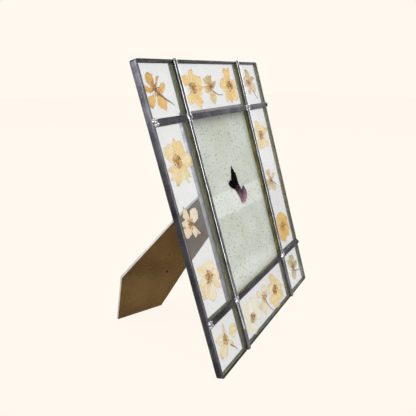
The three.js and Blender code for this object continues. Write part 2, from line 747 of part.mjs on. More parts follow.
// The leg's own outline runs from its heel, just above the hinge, down its upper edge to the foot.
function legBoard() {
  const points = [
    [-0.5, heelReach],
    [-2.6, -36],
    [-5.9, -70],
    [-8.5, -140.6],
    [25.8, -182.4],
    [59, -152.5],
    [48.5, -100],
    [42.5, -60],
    [hingeLength, heelReach],
  ];
  const geometry = new THREE.ExtrudeGeometry(outline(points), { depth: legThickness, bevelEnabled: false });
  return named("leg", geometry.translate(0, 0, legFront - legThickness), "#5a4528", 0.85);
}

function hingeAndLeg() {
  const third = (hingeLength - 2 * leafInset) / 3;
  const marks = [0, 1, 2, 3].map((step) => leafInset + step * third);
  const middle = [[marks[1] + 0.15, marks[2] - 0.15]];
  const outer = [
    [marks[0], marks[1] - 0.15],
    [marks[2] + 0.15, marks[3]],
  ];
  const outerCut = [
    [marks[0] - 0.2, marks[1] + 0.15],
    [marks[2] - 0.15, marks[3] + 0.2],
  ];
  const middleCut = [[marks[1] - 0.15, marks[2] + 0.15]];
  const hinge = new THREE.Group();
  hinge.position.set(...hingeStart, hingeAxisDepth);
  hinge.rotation.z = -THREE.MathUtils.degToRad(hingeTiltDegrees);
  hinge.add(hingeLeaf("hinge_leaf_board", 1, middle, outerCut), hingePin());
  const swinging = new THREE.Group();
  swinging.rotation.x = THREE.MathUtils.degToRad(legOpenDegrees);
  swinging.add(hingeLeaf("hinge_leaf_leg", -1, outer, middleCut), legBoard());
  hinge.add(swinging);
  return hinge;
}

// ---- assembly ----

// Takes off what would be below the surface that the object stands on.
function cutAtFloor(mesh) {
  const block = new THREE.BoxGeometry(600, 600, 40).translate(0, 0, -20);
  block.applyMatrix4(mesh.matrixWorld.clone().invert());
  mesh.geometry = geometryOf(solidOf(mesh.geometry).subtract(solidOf(block)));
}

const frame = new THREE.Group();
frame.add(...rim(), upright("came_left", -uprightCentre), upright("came_right", uprightCentre));
frame.add(...crossBars(), ...panes(), ...flowers.map(bloom), ...centrePieces());
frame.add(...rearChannel(), backingBoard(), hingeAndLeg());

// The lower back edge of the rim is the lowest line: the origin is the middle of its worn flat.
const edgeY = rimEdgeRadius * Math.sin(lean) + (cameDepth - rimEdgeRadius) * Math.cos(lean);
const edgeZ = rimEdgeRadius * Math.cos(lean) - (cameDepth - rimEdgeRadius) * Math.sin(lean) - rimEdgeRadius;
frame.rotation.x = Math.PI / 2 - lean;
frame.position.set(0, -edgeY, -edgeZ - footFlat);

const flowerFrame = new THREE.Group();
flowerFrame.add(frame);
flowerFrame.updateMatrixWorld(true);
["rim_bottom", "leg"].forEach((name) => cutAtFloor(flowerFrame.getObjectByName(name)));

export default flowerFrame;
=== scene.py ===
import math
import bpy
from mathutils import Matrix, Vector, noise


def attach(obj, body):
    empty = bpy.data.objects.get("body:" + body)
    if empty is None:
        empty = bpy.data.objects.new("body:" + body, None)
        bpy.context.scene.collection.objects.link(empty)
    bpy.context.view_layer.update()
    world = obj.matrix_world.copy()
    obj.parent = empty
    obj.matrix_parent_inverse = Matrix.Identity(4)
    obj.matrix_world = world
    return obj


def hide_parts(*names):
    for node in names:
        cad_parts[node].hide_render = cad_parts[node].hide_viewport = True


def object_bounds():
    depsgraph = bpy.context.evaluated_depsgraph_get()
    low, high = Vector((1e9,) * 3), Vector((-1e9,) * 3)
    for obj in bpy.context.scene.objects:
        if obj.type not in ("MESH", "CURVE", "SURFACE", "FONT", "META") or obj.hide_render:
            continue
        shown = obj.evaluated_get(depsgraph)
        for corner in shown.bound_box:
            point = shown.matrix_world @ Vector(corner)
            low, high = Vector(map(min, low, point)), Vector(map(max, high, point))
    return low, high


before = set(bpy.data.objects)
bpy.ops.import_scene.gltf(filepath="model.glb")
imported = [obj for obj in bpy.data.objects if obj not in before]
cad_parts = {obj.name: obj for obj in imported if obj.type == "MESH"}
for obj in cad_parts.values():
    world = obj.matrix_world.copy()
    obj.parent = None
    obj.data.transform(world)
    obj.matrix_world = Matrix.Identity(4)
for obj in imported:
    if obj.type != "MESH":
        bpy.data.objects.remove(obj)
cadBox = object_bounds()
print("frame loaded:", len(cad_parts), "nodes")

mm = 0.001
noise.seed_set(7)  # without a seed of its own, noise_vector differs from run to run

# The frame is modelled flat in millimetres, x to the right, y up from its bottom edge and z out of its front.
# Then it is leaned back about the rounded edge that it stands on.
stand = {"lean": 15.78, "depth": 6.0, "edgeRadius": 1.0, "wornFlat": 0.2}
size = {"width": 198.0, "height": 246.6, "upright": 52.7, "lowBar": 45.2, "highBar": 201.4}
sheet = {"left": 96.5, "top": 246.4}  # flower outlines run across and down from this corner

leanAngle = math.radians(stand["lean"])
footInset = stand["depth"] - stand["edgeRadius"]
standBack = stand["edgeRadius"] * math.sin(leanAngle) + footInset * math.cos(leanAngle)
standDrop = stand["edgeRadius"] * math.cos(leanAngle) - footInset * math.sin(leanAngle) - stand["edgeRadius"]
tiltAngle = math.pi / 2 - leanAngle
leanIntoPlace = Matrix.Translation((0, -standBack * mm, -(standDrop + stand["wornFlat"]) * mm))
leanIntoPlace = leanIntoPlace @ Matrix.Rotation(tiltAngle, 4, "X")


def makeActive(piece):
    bpy.ops.object.select_all(action="DESELECT")
    piece.select_set(True)
    bpy.context.view_layer.objects.active = piece


def newPiece(name, points, faces):
    mesh = bpy.data.meshes.new(name)
    mesh.from_pydata([Vector(point) * mm for point in points], [], faces)
    mesh.update()
    piece = bpy.data.objects.new(name, mesh)
    bpy.context.scene.collection.objects.link(piece)
    makeActive(piece)
    return piece


def tidyNormals(piece):
    makeActive(piece)
    bpy.ops.object.mode_set(mode="EDIT")
    bpy.ops.mesh.select_all(action="SELECT")
    bpy.ops.mesh.remove_doubles(threshold=0.002 * mm)
    bpy.ops.mesh.normals_make_consistent(inside=False)
    bpy.ops.object.mode_set(mode="OBJECT")


def applyModifiers(piece):
    makeActive(piece)
    for modifier in list(piece.modifiers):
        bpy.ops.object.modifier_apply(modifier=modifier.name)


def joinPieces(pieces, name):
    bpy.ops.object.select_all(action="DESELECT")
    for piece in pieces:
        piece.select_set(True)
    bpy.context.view_layer.objects.active = pieces[0]
    if len(pieces) > 1:
        bpy.ops.object.join()
    pieces[0].name = name
    pieces[0].data.name = name
    return pieces[0]


# Puts a flat piece in its place on the leaning frame, then leaves its object at the origin.
def leanBack(piece, x=0, y=0, z=0, turn=0):
    inFrame = Matrix.Translation(Vector((x, y, z)) * mm) @ Matrix.Rotation(turn, 4, "Z")
    piece.matrix_world = leanIntoPlace @ inFrame @ piece.matrix_world
    makeActive(piece)
    bpy.ops.object.transform_apply(location=True, rotation=True, scale=True)
    return piece


# Nothing reaches past the solid frame's own box or below the table.
def keepInside(piece):
    low, high = cadBox
    for vertex in piece.data.vertices:
        vertex.co = [min(max(co, least), most) for co, least, most in zip(vertex.co, low, high)]


def dress(piece, material, body="frame", replaces=(), smoothAngle=40):
    if material:
        piece.data.materials.clear()
        piece.data.materials.append(material)
    keepInside(piece)
    makeActive(piece)
    bpy.ops.object.shade_smooth_by_angle(angle=math.radians(smoothAngle))
    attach(piece, body)
    if replaces:
        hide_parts(*replaces)
    return piece


lens = {"mm": 38.242, "shift": -0.0577, "pitch": 17.38, "heading": -62.36}
lensPlace = (-0.3501, -0.14426, 0.23079)


def addCamera():
    bpy.ops.object.camera_add(location=lensPlace)
    camera = bpy.context.object
    camera.name = "viewCamera"
    camera.rotation_euler = (math.radians(90 - lens["pitch"]), 0, math.radians(lens["heading"]))
    camera.data.lens = lens["mm"]
    camera.data.sensor_width = 36
    camera.data.shift_x = lens["shift"]
    camera.data.clip_start = 0.01
    bpy.context.scene.camera = camera


addCamera()


def newGroup(name, inputs, outputs):
    tree = bpy.data.node_groups.new(name, "ShaderNodeTree")
    for socketName, value in inputs.items():
        socket = tree.interface.new_socket(socketName, in_out="INPUT", socket_type="NodeSocketFloat")
        socket.default_value = value
    for socketName, kind in outputs.items():
        tree.interface.new_socket(socketName, in_out="OUTPUT", socket_type=kind)
    return tree, tree.nodes.new("NodeGroupInput").outputs, tree.nodes.new("NodeGroupOutput").inputs


# Puts a value, a colour or another node's output into a socket.
def feed(tree, socket, given):
    if hasattr(given, "is_linked"):
        tree.links.new(given, socket)
    elif socket.type == "RGBA":
        socket.default_value = (*given, 1)
    else:
        socket.default_value = given


def addNode(tree, kind, inputs, **settings):
    node = tree.nodes.new("ShaderNode" + kind)
    for name, value in settings.items():
        setattr(node, name, value)
    for socketName, given in inputs.items():
        feed(tree, node.inputs[socketName], given)
    return node.outputs


# Object coordinates turned back into the flat frame's own directions, in metres.
def flatCoordinates(tree):
    inputs = {
        "Vector": addNode(tree, "TexCoord", {})["Object"],
        "Location": leanIntoPlace.inverted().translation,
        "Rotation": (-tiltAngle, 0, 0),
    }
    return addNode(tree, "Mapping", inputs)["Vector"]


def separate(tree, vector):
    return addNode(tree, "SeparateXYZ", {"Vector": vector})


def mapRange(tree, value, low, high, outLow=0.0, outHigh=1.0):
    inputs = {"Value": value, "From Min": low, "From Max": high, "To Min": outLow, "To Max": outHigh}
    return addNode(tree, "MapRange", inputs, interpolation_type="SMOOTHSTEP")["Result"]


def calculate(tree, operation, first, second=0.0):
    return addNode(tree, "Math", {0: first, 1: second}, operation=operation)["Value"]


def makeCloudMask():
    inputs = {"Scale": 100, "Detail": 4, "Low": 0.4, "High": 0.6}
    tree, start, end = newGroup("cloudMask", inputs, {"Mask": "NodeSocketFloat"})
    given = {"Vector": flatCoordinates(tree), "Scale": start["Scale"], "Detail": start["Detail"]}
    texture = addNode(tree, "TexNoise", given)["Fac"]
    feed(tree, end["Mask"], mapRange(tree, texture, start["Low"], start["High"]))
    return tree


# 0 behind one depth of the flat frame and 1 in front of another.
def makeDepthMask():
    tree, start, end = newGroup("depthMask", {"Behind": 0.0, "Front": 0.001}, {"Mask": "NodeSocketFloat"})
    depth = separate(tree, flatCoordinates(tree))["Z"]
    feed(tree, end["Mask"], mapRange(tree, depth, start["Behind"], start["Front"]))
    return tree


# Round specks in a share of the cells.
def makeSpeckMask():
    inputs = {"Scale": 600, "Size": 0.2, "Share": 0.3}
    tree, start, end = newGroup("speckMask", inputs, {"Mask": "NodeSocketFloat"})
    cells = addNode(tree, "TexVoronoi", {"Vector": flatCoordinates(tree), "Scale": start["Scale"]})
    core = calculate(tree, "MULTIPLY", start["Size"], 0.5)
    inside = mapRange(tree, cells["Distance"], start["Size"], core)
    draw = addNode(tree, "SeparateColor", {"Color": cells["Color"]})["Red"]
    chosen = calculate(tree, "LESS_THAN", draw, start["Share"])
    feed(tree, end["Mask"], calculate(tree, "MULTIPLY", inside, chosen))
    return tree


def makeFineBump():
    inputs = {"Scale": 400, "Detail": 3, "Strength": 0.3, "Depth": 0.0002}
    tree, start, end = newGroup("fineBump", inputs, {"Normal": "NodeSocketVector"})
    given = {"Vector": flatCoordinates(tree), "Scale": start["Scale"], "Detail": start["Detail"]}
    height = addNode(tree, "TexNoise", given)["Fac"]
    given = {"Height": height, "Strength": start["Strength"], "Distance": start["Depth"]}
    feed(tree, end["Normal"], addNode(tree, "Bump", given)["Normal"])
    return tree


# Reads a petal's own map, across it in U and from heart to tip in V. Marks wander and streaks run lengthwise.
petalMap = {"wander": 0.16, "vein": (0.55, 1.0), "tipEnd": 1.02, "side": (0.4, 0.5), "end": (0.95, 1.0),
            "base": (0.34, 0.02), "streak": (0.42, 0.62), "streakStretch": (11, 1.6)}


def makePetalMarks():
    outputs = {name: "NodeSocketFloat" for name in ("Veins", "Tip", "Edge", "Base", "Streaks")}
    tree, start, end = newGroup("petalMarks", {"Vein Count": 9, "Tip Start": 0.8}, outputs)
    place = separate(tree, addNode(tree, "TexCoord", {})["UV"])
    noisy = addNode(tree, "TexNoise", {"Vector": flatCoordinates(tree), "Scale": 260, "Detail": 3})["Fac"]
    offset = calculate(tree, "MULTIPLY", calculate(tree, "SUBTRACT", noisy, 0.5), petalMap["wander"])
    across = calculate(tree, "ADD", place["X"], offset)
    lengthwise = calculate(tree, "ADD", place["Y"], offset)
    turns = calculate(tree, "MULTIPLY", calculate(tree, "MULTIPLY", across, start["Vein Count"]), 2 * math.pi)
    fromMiddle = calculate(tree, "ABSOLUTE", calculate(tree, "SUBTRACT", across, 0.5))
    sideEdge = mapRange(tree, fromMiddle, *petalMap["side"])
    farEdge = mapRange(tree, place["Y"], *petalMap["end"])
    stretched = {
        "X": calculate(tree, "MULTIPLY", across, petalMap["streakStretch"][0]),
        "Y": calculate(tree, "MULTIPLY", place["Y"], petalMap["streakStretch"][1]),
        "Z": addNode(tree, "Attribute", {}, attribute_name="petalSeed")["Fac"],
    }
    streakPlace = addNode(tree, "CombineXYZ", stretched)["Vector"]
    streaks = addNode(tree, "TexNoise", {"Vector": streakPlace, "Scale": 1, "Detail": 3})["Fac"]
    marks = {
        "Veins": mapRange(tree, calculate(tree, "COSINE", turns), *petalMap["vein"]),
        "Tip": mapRange(tree, lengthwise, start["Tip Start"], petalMap["tipEnd"]),
        "Edge": calculate(tree, "MAXIMUM", sideEdge, farEdge),
        "Base": mapRange(tree, lengthwise, *petalMap["base"]),
        "Streaks": mapRange(tree, streaks, *petalMap["streak"]),
    }
    for name, value in marks.items():
        feed(tree, end[name], value)
    return tree


effects = {
    "cloud": makeCloudMask(),
    "depth": makeDepthMask(),
    "speck": makeSpeckMask(),
    "bump": makeFineBump(),
    "petal": makePetalMarks(),
}


def newMaterial(name, **values):
    material = bpy.data.materials.new(name)
    material.use_nodes = True
    surface = material.node_tree.nodes["Principled BSDF"].inputs
    for socketName, value in values.items():
        surface[socketName.replace("_", " ")].default_value = value
    return material, material.node_tree, surface


def effect(tree, kind, **values):
    inputs = {socketName.replace("_", " "): value for socketName, value in values.items()}
    return addNode(tree, "Group", inputs, node_tree=effects[kind])


def clouds(tree, scale, detail, low, high):
    return effect(tree, "cloud", Scale=scale, Detail=detail, Low=low, High=high)["Mask"]


def specks(tree, scale, reach, share):
    return effect(tree, "speck", Scale=scale, Size=reach, Share=share)["Mask"]


def inFront(tree, behind, front):
    return effect(tree, "depth", Behind=behind * mm, Front=front * mm)["Mask"]


def mixColour(tree, mask, first, second, strength=1.0):
    if strength != 1.0:
        mask = calculate(tree, "MULTIPLY", mask, strength)
    return addNode(tree, "Mix", {"Factor": mask, "A": first, "B": second}, data_type="RGBA")["Result"]


def mixShader(tree, share, first, second):
    return addNode(tree, "MixShader", {"Fac": share, 1: first, 2: second})["Shader"]


# Lays colour, a bump (scale, detail, strength and depth) and, if it varies, roughness on a surface.
def lay(tree, surface, colour, bump, roughness=None):
    feed(tree, surface["Base Color"], colour)
    scale, detail, strength, depth = bump
    relief = effect(tree, "bump", Scale=scale, Detail=detail, Strength=strength, Depth=depth * mm)
    feed(tree, surface["Normal"], relief["Normal"])
    if roughness is not None:
        feed(tree, surface["Roughness"], roughness)


leadFinish = {
    "dark": (0.036, 0.036, 0.044),
    "mid": (0.1, 0.1, 0.11),
    "worn": (0.72, 0.725, 0.745),
    "olive": (0.26, 0.245, 0.05),
    "oliveDark": (0.02, 0.022, 0.008),
}


# Dark patina over lead, lighter in front of the depths in `crown`: partly rubbed-bright wear, partly painted
# highlight standing in for the shine of the bead crowns and rounded rim sides.
def leadMaterial(name, crown, wornShare, roughness):
    material, tree, surface = newMaterial(name, Metallic=0.9)
    colour = mixColour(tree, clouds(tree, 70, 5, 0.3, 0.7), leadFinish["dark"], leadFinish["mid"])
    colour = mixColour(tree, clouds(tree, 900, 3, 0.5, 0.72), colour, leadFinish["worn"], 0.1)
    patchy = calculate(tree, "MULTIPLY", clouds(tree, 110, 4, 0.25, 0.6), 0.6)
    # The band in front of the crown depths is lighter: partly wear, partly painted highlight.
    worn = calculate(tree, "MULTIPLY", inFront(tree, *crown), calculate(tree, "ADD", patchy, 0.4))
    colour = mixColour(tree, worn, colour, leadFinish["worn"], wornShare)
    rough = mapRange(tree, worn, 0.0, 1.0, roughness, roughness * 0.6)
    lay(tree, surface, colour, (260, 4, 0.25, 0.1), rough)
    return material


# Olive film left in the grooves, with painted shade darkening it beside the plates.
def grooveMaterial():
    material, tree, surface = newMaterial("oliveGroove", Metallic=0.0)
    cloud = clouds(tree, 80, 5, 0.35, 0.65)
    # Painted shade beside the front and back plates.
    plateShade = calculate(tree, "MAXIMUM", inFront(tree, -1.2, -0.7), inFront(tree, -5.1, -5.9))
    shade = calculate(tree, "MAXIMUM", plateShade, calculate(tree, "MULTIPLY", cloud, 0.5))
    colour = mixColour(tree, shade, leadFinish["olive"], leadFinish["oliveDark"])
    lay(tree, surface, colour, (300, 3, 0.3, 0.1), mapRange(tree, cloud, 0, 1, 0.35, 0.6))
    return material


def solderMaterial():
    material, tree, surface = newMaterial("brightSolder", Metallic=0.95)
    cloud = clouds(tree, 240, 4, 0.4, 0.62)
    colour = mixColour(tree, cloud, (0.66, 0.66, 0.69), (0.3, 0.3, 0.33))
    colour = mixColour(tree, clouds(tree, 700, 2, 0.58, 0.7), colour, (0.05, 0.05, 0.06), 0.8)
    lay(tree, surface, colour, (420, 3, 0.5, 0.25), mapRange(tree, cloud, 0, 1, 0.16, 0.34))
    return material


def metalMaterial(name, pale, dull, roughness):
    material, tree, surface = newMaterial(name, Metallic=0.9)
    cloud = clouds(tree, 120, 5, 0.35, 0.65)
    colour = mixColour(tree, cloud, pale, dull)
    colour = mixColour(tree, specks(tree, 900, 0.3, 0.2), colour, (0.12, 0.1, 0.08), 0.5)
    rough = mapRange(tree, cloud, 0, 1, roughness, roughness + 0.2)
    lay(tree, surface, colour, (500, 3, 0.25, 0.08), rough)
    return material


glassTint = {"clean": (0.893, 0.917, 0.95), "smeared": (0.875, 0.902, 0.938), "shadow": (0.95, 0.96, 0.96)}
dustTint = (0.95, 0.92, 0.88)


# Lamps shine through the sheet: for shadow rays it is plain transparent. Dust lies on the inner sheets.
def glassMaterial(name, ior, dust):
    material, tree, surface = newMaterial(name, Roughness=0.0, IOR=ior, Transmission_Weight=1.0)
    smear = clouds(tree, 45, 5, 0.3, 0.75)
    feed(tree, surface["Base Color"], mixColour(tree, smear, glassTint["clean"], glassTint["smeared"]))
    shadowRay = addNode(tree, "LightPath", {})["Is Shadow Ray"]
    clear = addNode(tree, "BsdfTransparent", {"Color": glassTint["shadow"]})["BSDF"]
    shader = mixShader(tree, shadowRay, tree.nodes["Principled BSDF"].outputs["BSDF"], clear)
    if dust:
        film = addNode(tree, "BsdfDiffuse", {"Color": dustTint})["BSDF"]
        shader = mixShader(tree, dust, shader, film)
    feed(tree, tree.nodes["Material Output"].inputs["Surface"], shader)
    return material


# Each tint has its pale, deep, vein and base colours, and how dense the petal is away from its marks.
petalTints = {
    "burnt": ((1.0, 0.68, 0.26), (0.8, 0.42, 0.08), (0.3, 0.14, 0.02), (0.5, 0.22, 0.02), 0.94),
    "tan": ((1.0, 0.7, 0.24), (0.84, 0.48, 0.08), (0.36, 0.17, 0.03), (0.52, 0.24, 0.03), 0.92),
    "gold": ((1.0, 0.86, 0.46), (0.99, 0.62, 0.15), (0.6, 0.32, 0.06), (0.75, 0.4, 0.07), 0.68),
    "cream": ((1.0, 0.96, 0.78), (1.0, 0.81, 0.47), (0.65, 0.36, 0.1), (0.85, 0.52, 0.15), 0.74),
    "pale": ((1.0, 0.93, 0.76), (0.93, 0.76, 0.5), (0.55, 0.34, 0.14), (0.75, 0.48, 0.2), 0.84),
    "milk": ((1.0, 0.99, 0.87), (1.0, 0.93, 0.7), (0.8, 0.6, 0.3), (0.9, 0.68, 0.3), 0.84),
    "brown": ((1.0, 0.77, 0.36), (0.62, 0.42, 0.14), (0.26, 0.15, 0.05), (0.34, 0.19, 0.06), 0.92),
    "rosy": ((1.0, 0.82, 0.5), (0.68, 0.45, 0.19), (0.34, 0.18, 0.08), (0.45, 0.22, 0.08), 0.88),
    "peach": ((1.0, 0.94, 0.68), (0.99, 0.72, 0.28), (0.6, 0.3, 0.1), (0.8, 0.42, 0.14), 0.78),
    "olive": ((0.86, 0.74, 0.44), (0.6, 0.48, 0.22), (0.34, 0.25, 0.1), (0.36, 0.24, 0.09), 0.92),
    "black": ((0.006, 0.004, 0.006), (0.002, 0.002, 0.003), (0.012, 0.008, 0.012), (0.003, 0.002, 0.003), 1),
    "mauve": ((0.03, 0.018, 0.026), (0.015, 0.008, 0.013), (0.08, 0.06, 0.075), (0.004, 0.003, 0.004), 1),
}
petalLook = {"shine": 0.12, "veins": 7, "tipStart": 0.72}
mauveTip = {"colour": (0.46, 0.24, 0.29), "start": 0.2}


# Thin dry petals let some light through, more so in the middle; edges, veins and the ends are denser.
def petalMaterial(tintName):
    pale, deep, vein, base, body = petalTints[tintName]
    shine = 0.0 if tintName in ("black", "mauve") else petalLook["shine"]
    material, tree, surface = newMaterial("petal_" + tintName, Roughness=0.75, Specular_IOR_Level=shine)
    tipStart = mauveTip["start"] if tintName == "mauve" else petalLook["tipStart"]
    marks = effect(tree, "petal", Vein_Count=petalLook["veins"], Tip_Start=tipStart)
    cloud = clouds(tree, 260, 5, 0.4, 0.62)
    blot = clouds(tree, 480, 4, 0.55, 0.68)
    layers = [
        (addNode(tree, "Attribute", {}, attribute_name="petalTone")["Fac"], deep, 0.75),
        (cloud, deep, 0.5),
        (marks["Streaks"], deep, 0.5),
        (marks["Base"], base, 0.28),
        (marks["Veins"], vein, 0.38),
        (marks["Edge"], vein, 0.38),
        (calculate(tree, "MULTIPLY", marks["Tip"], cloud), vein, 0.95),
        (blot, vein, 0.45),
    ]
    if tintName == "mauve":
        layers.append((marks["Tip"], mauveTip["colour"], 1.0))
    colour = pale
    for mask, tone, strength in layers:
        colour = mixColour(tree, mask, colour, tone, strength)
    feed(tree, surface["Base Color"], colour)
    dense = marks["Streaks"]
    for mask in (marks["Edge"], marks["Base"], blot):
        dense = calculate(tree, "MAXIMUM", dense, mask)
    feed(tree, surface["Alpha"], mapRange(tree, dense, 0, 1, body, min(1.0, body + 0.3)))
    relief = addNode(tree, "Bump", {"Height": marks["Veins"], "Distance": 0.12 * mm, "Strength": 0.7})
    feed(tree, surface["Normal"], relief["Normal"])
    return material


def stalkMaterial(name, pale, dark):
    material, tree, surface = newMaterial(name, Roughness=0.8, Specular_IOR_Level=0.15)
    colour = mixColour(tree, clouds(tree, 520, 4, 0.38, 0.62), pale, dark)
    lay(tree, surface, colour, (900, 3, 0.5, 0.1))
    return material


def boardMaterial(name, pale, dark, dusty):
    material, tree, surface = newMaterial(name, Roughness=0.85, Specular_IOR_Level=0.2)
    colour = mixColour(tree, clouds(tree, 22, 5, 0.35, 0.65), pale, dark)
    colour = mixColour(tree, clouds(tree, 800, 5, 0.4, 0.66), colour, dusty, 0.3)
    colour = mixColour(tree, specks(tree, 420, 0.26, 0.25), colour, (0.03, 0.02, 0.01), 0.45)
    lay(tree, surface, colour, (900, 5, 0.6, 0.2))
    return material


# The painted reflection bands' slope and, in millimetres up the frame, the middle one's centre and where each
# one fades.
cardReflectionBands = {"slope": 0.046, "middle": 122, "middleFade": (11, 9), "lowFade": (72, 56)}


# Speckled grey-green card, with pale slanting bands of painted reflection.
def insertMaterial():
    material, tree, surface = newMaterial("insertCard", Roughness=0.9, Specular_IOR_Level=0.2)
    place = separate(tree, flatCoordinates(tree))
    height = calculate(tree, "ADD", place["Y"], calculate(tree, "MULTIPLY", place["X"], cardReflectionBands["slope"]))
    apart = calculate(tree, "ABSOLUTE", calculate(tree, "SUBTRACT", height, cardReflectionBands["middle"] * mm))
    middleReflection = mapRange(tree, apart, *[edge * mm for edge in cardReflectionBands["middleFade"]])
    lowReflection = mapRange(tree, height, *[edge * mm for edge in cardReflectionBands["lowFade"]])
    paintedReflections = calculate(tree, "MAXIMUM", middleReflection, lowReflection)
    colour = mixColour(tree, clouds(tree, 30, 4, 0.35, 0.65), (0.56, 0.56, 0.455), (0.62, 0.63, 0.55))
    colour = mixColour(tree, clouds(tree, 800, 3, 0.42, 0.62), colour, (0.36, 0.38, 0.32), 0.3)
    # Painted reflection: the pale slanting bands.
    colour = mixColour(tree, paintedReflections, colour, (0.82, 0.8, 0.73), 0.45)
    colour = mixColour(tree, specks(tree, 430, 0.34, 0.45), colour, (0.1, 0.11, 0.085), 0.7)
    colour = mixColour(tree, specks(tree, 190, 0.2, 0.4), colour, (0.3, 0.2, 0.09), 0.6)
    lay(tree, surface, colour, (1400, 3, 0.4, 0.08))
    return material


finishes = {
    "rim": leadMaterial("rimLead", (-0.5, 0.05), 0.0, 0.26),
    # On the left rim's outer side the lighter band in front of -2 mm is a painted highlight.
    "sideRim": leadMaterial("sideRimSheenLead", (-2.0, 0.05), 0.15, 0.26),
    # On the bead crowns and bar faces the lighter band is wear together with a painted highlight.
    "upright": leadMaterial("uprightLead", (0.5, 1.5), 0.4, 0.15),
    "bar": leadMaterial("barLead", (0.7, 1.0), 0.02, 0.3),
    "groove": grooveMaterial(),
    "solder": solderMaterial(),
    "channel": metalMaterial("zincChannel", (0.5, 0.5, 0.495), (0.3, 0.3, 0.29), 0.34),
    "hinge": metalMaterial("hingeSteel", (0.5, 0.49, 0.47), (0.3, 0.28, 0.26), 0.35),
    "frontGlass": glassMaterial("frontGlass", 1.22, 0),
    "backGlass": glassMaterial("backGlass", 1.22, 0.04),
    "centreGlass": glassMaterial("centreGlass", 1.02, 0),
    "heart": stalkMaterial("flowerHeart", (0.6, 0.25, 0.012), (0.09, 0.035, 0.003)),
    "goldHeart": stalkMaterial("goldHeart", (0.8, 0.42, 0.05), (0.3, 0.12, 0.01)),
    "stamen": stalkMaterial("flowerStamens", (0.6, 0.27, 0.02), (0.12, 0.045, 0.004)),
    "stem": stalkMaterial("flowerStem", (0.3, 0.19, 0.07), (0.13, 0.08, 0.03)),
    "leg": boardMaterial("legHardboard", (0.15, 0.086, 0.023), (0.088, 0.045, 0.01), (0.23, 0.15, 0.065)),
    "board": boardMaterial("backHardboard", (0.2, 0.135, 0.07), (0.12, 0.075, 0.035), (0.3, 0.22, 0.13)),
    "boardEdge": boardMaterial("tornEdge", (0.6, 0.58, 0.57), (0.4, 0.37, 0.35), (0.75, 0.74, 0.73)),
    "card": insertMaterial(),
}
for tintName in petalTints:
    finishes[tintName] = petalMaterial(tintName)
print("materials made:", len(finishes))


near = 0.01  # places closer than this, in millimetres, count as one


# Modelling helpers. Sizes are in millimetres.
def addBlock(name, xs, ys, zs):
    bpy.ops.object.select_all(action="DESELECT")
    middle = [(low + high) / 2 * mm for low, high in (xs, ys, zs)]
    spread = [(high - low) * mm for low, high in (xs, ys, zs)]
    bpy.ops.mesh.primitive_cube_add(size=1, location=middle, scale=spread)
    bpy.ops.object.transform_apply(location=True, rotation=True, scale=True)
    bpy.context.object.name = name
    return bpy.context.object


# Leaves the piece in edit mode with only the faces or edges that pass the test selected.
def pick(piece, kind, test):
    makeActive(piece)
    bpy.ops.object.mode_set(mode="EDIT")
    bpy.ops.mesh.select_mode(type=kind)
    bpy.ops.mesh.select_all(action="DESELECT")
    bpy.ops.object.mode_set(mode="OBJECT")
    mesh = piece.data
    if kind == "FACE":
        for face in mesh.polygons:
            face.select = test(face.center / mm, face.normal)
    else:
        for edge in mesh.edges:
            first, second = (mesh.vertices[index].co / mm for index in edge.vertices)
            edge.select = test(first, second)
    bpy.ops.object.mode_set(mode="EDIT")


def pickAll(piece):
    pick(piece, "FACE", lambda centre, normal: True)


def done():
    bpy.ops.object.mode_set(mode="OBJECT")


def roundEdges(piece, test, radius, segments):
    pick(piece, "EDGE", test)
    bpy.ops.mesh.bevel(offset=radius * mm, segments=segments, profile=0.5, affect="EDGES", clamp_overlap=True)
    done()


def cutLengthwise(piece, axis, longerThan, cuts):
    pick(piece, "EDGE", lambda a, b: abs(a[axis] - b[axis]) > longerThan)
    bpy.ops.mesh.subdivide(number_cuts=cuts)
    done()


# Slightly uneven, as worked by hand; neighbours shift together.
def waver(piece, amount, wavelength):
    for vertex in piece.data.vertices:
        vertex.co += noise.noise_vector(vertex.co / (wavelength * mm)) * (amount * mm)


def addLump(name, centre, halves, level, seed, rough=0.18, detail=4):
    bpy.ops.object.select_all(action="DESELECT")
    bpy.ops.mesh.primitive_ico_sphere_add(subdivisions=detail, radius=mm)
    piece = bpy.context.object
    piece.name = name
    for vertex in piece.data.vertices:
        swell = 1 + rough * noise.noise(vertex.co / mm * 1.3 + Vector((seed, 0, 0)))
        swell += rough * 0.4 * noise.noise(vertex.co / mm * 4 + Vector((0, seed, 0)))
        vertex.co = Vector([co * half * swell + at * mm for co, half, at in zip(vertex.co, halves, centre)])
    pickAll(piece)
    bpy.ops.mesh.bisect(plane_co=(0, 0, level * mm), plane_no=(0, 0, 1), use_fill=True, clear_inner=True)
    done()
    return piece


# The first material goes all over a came, the second on its faces between the plates.
def coatGrooved(piece, material):
    piece.data.materials.append(material)
    piece.data.materials.append(finishes["groove"])
    slack = 5 * near
    for face in piece.data.polygons:
        depth = face.center.z / mm
        inGroove = -rimDepth + cameShape["flange"] - slack < depth < -cameShape["flange"] + slack
        onWeb = inGroove and abs(face.normal.z) < 0.5
        onBackPlate = face.normal.z > 0.5 and depth < -rimDepth / 2
        face.material_index = 1 if onWeb or onBackPlate else 0


cameShape = {
    "web": 1.0, "flange": 0.5, "bead": 5.0, "beadRise": 1.8, "beadFoot": 0.15, "beadEnd": 2.3,
    "plateInset": 0.2, "back": 7.0, "overhang": 0.8, "gap": 0.1, "wave": 0.2,
}
rimShape = {
    "face": 2.2, "wall": 0.8, "flange": 0.5, "edgeRadius": 1.6, "cornerRadius": 2.6, "innerRadius": 0.3,
    "gap": 0.05, "wave": 0.08,
}
rimDepth = stand["depth"]
halfWidth = size["width"] / 2


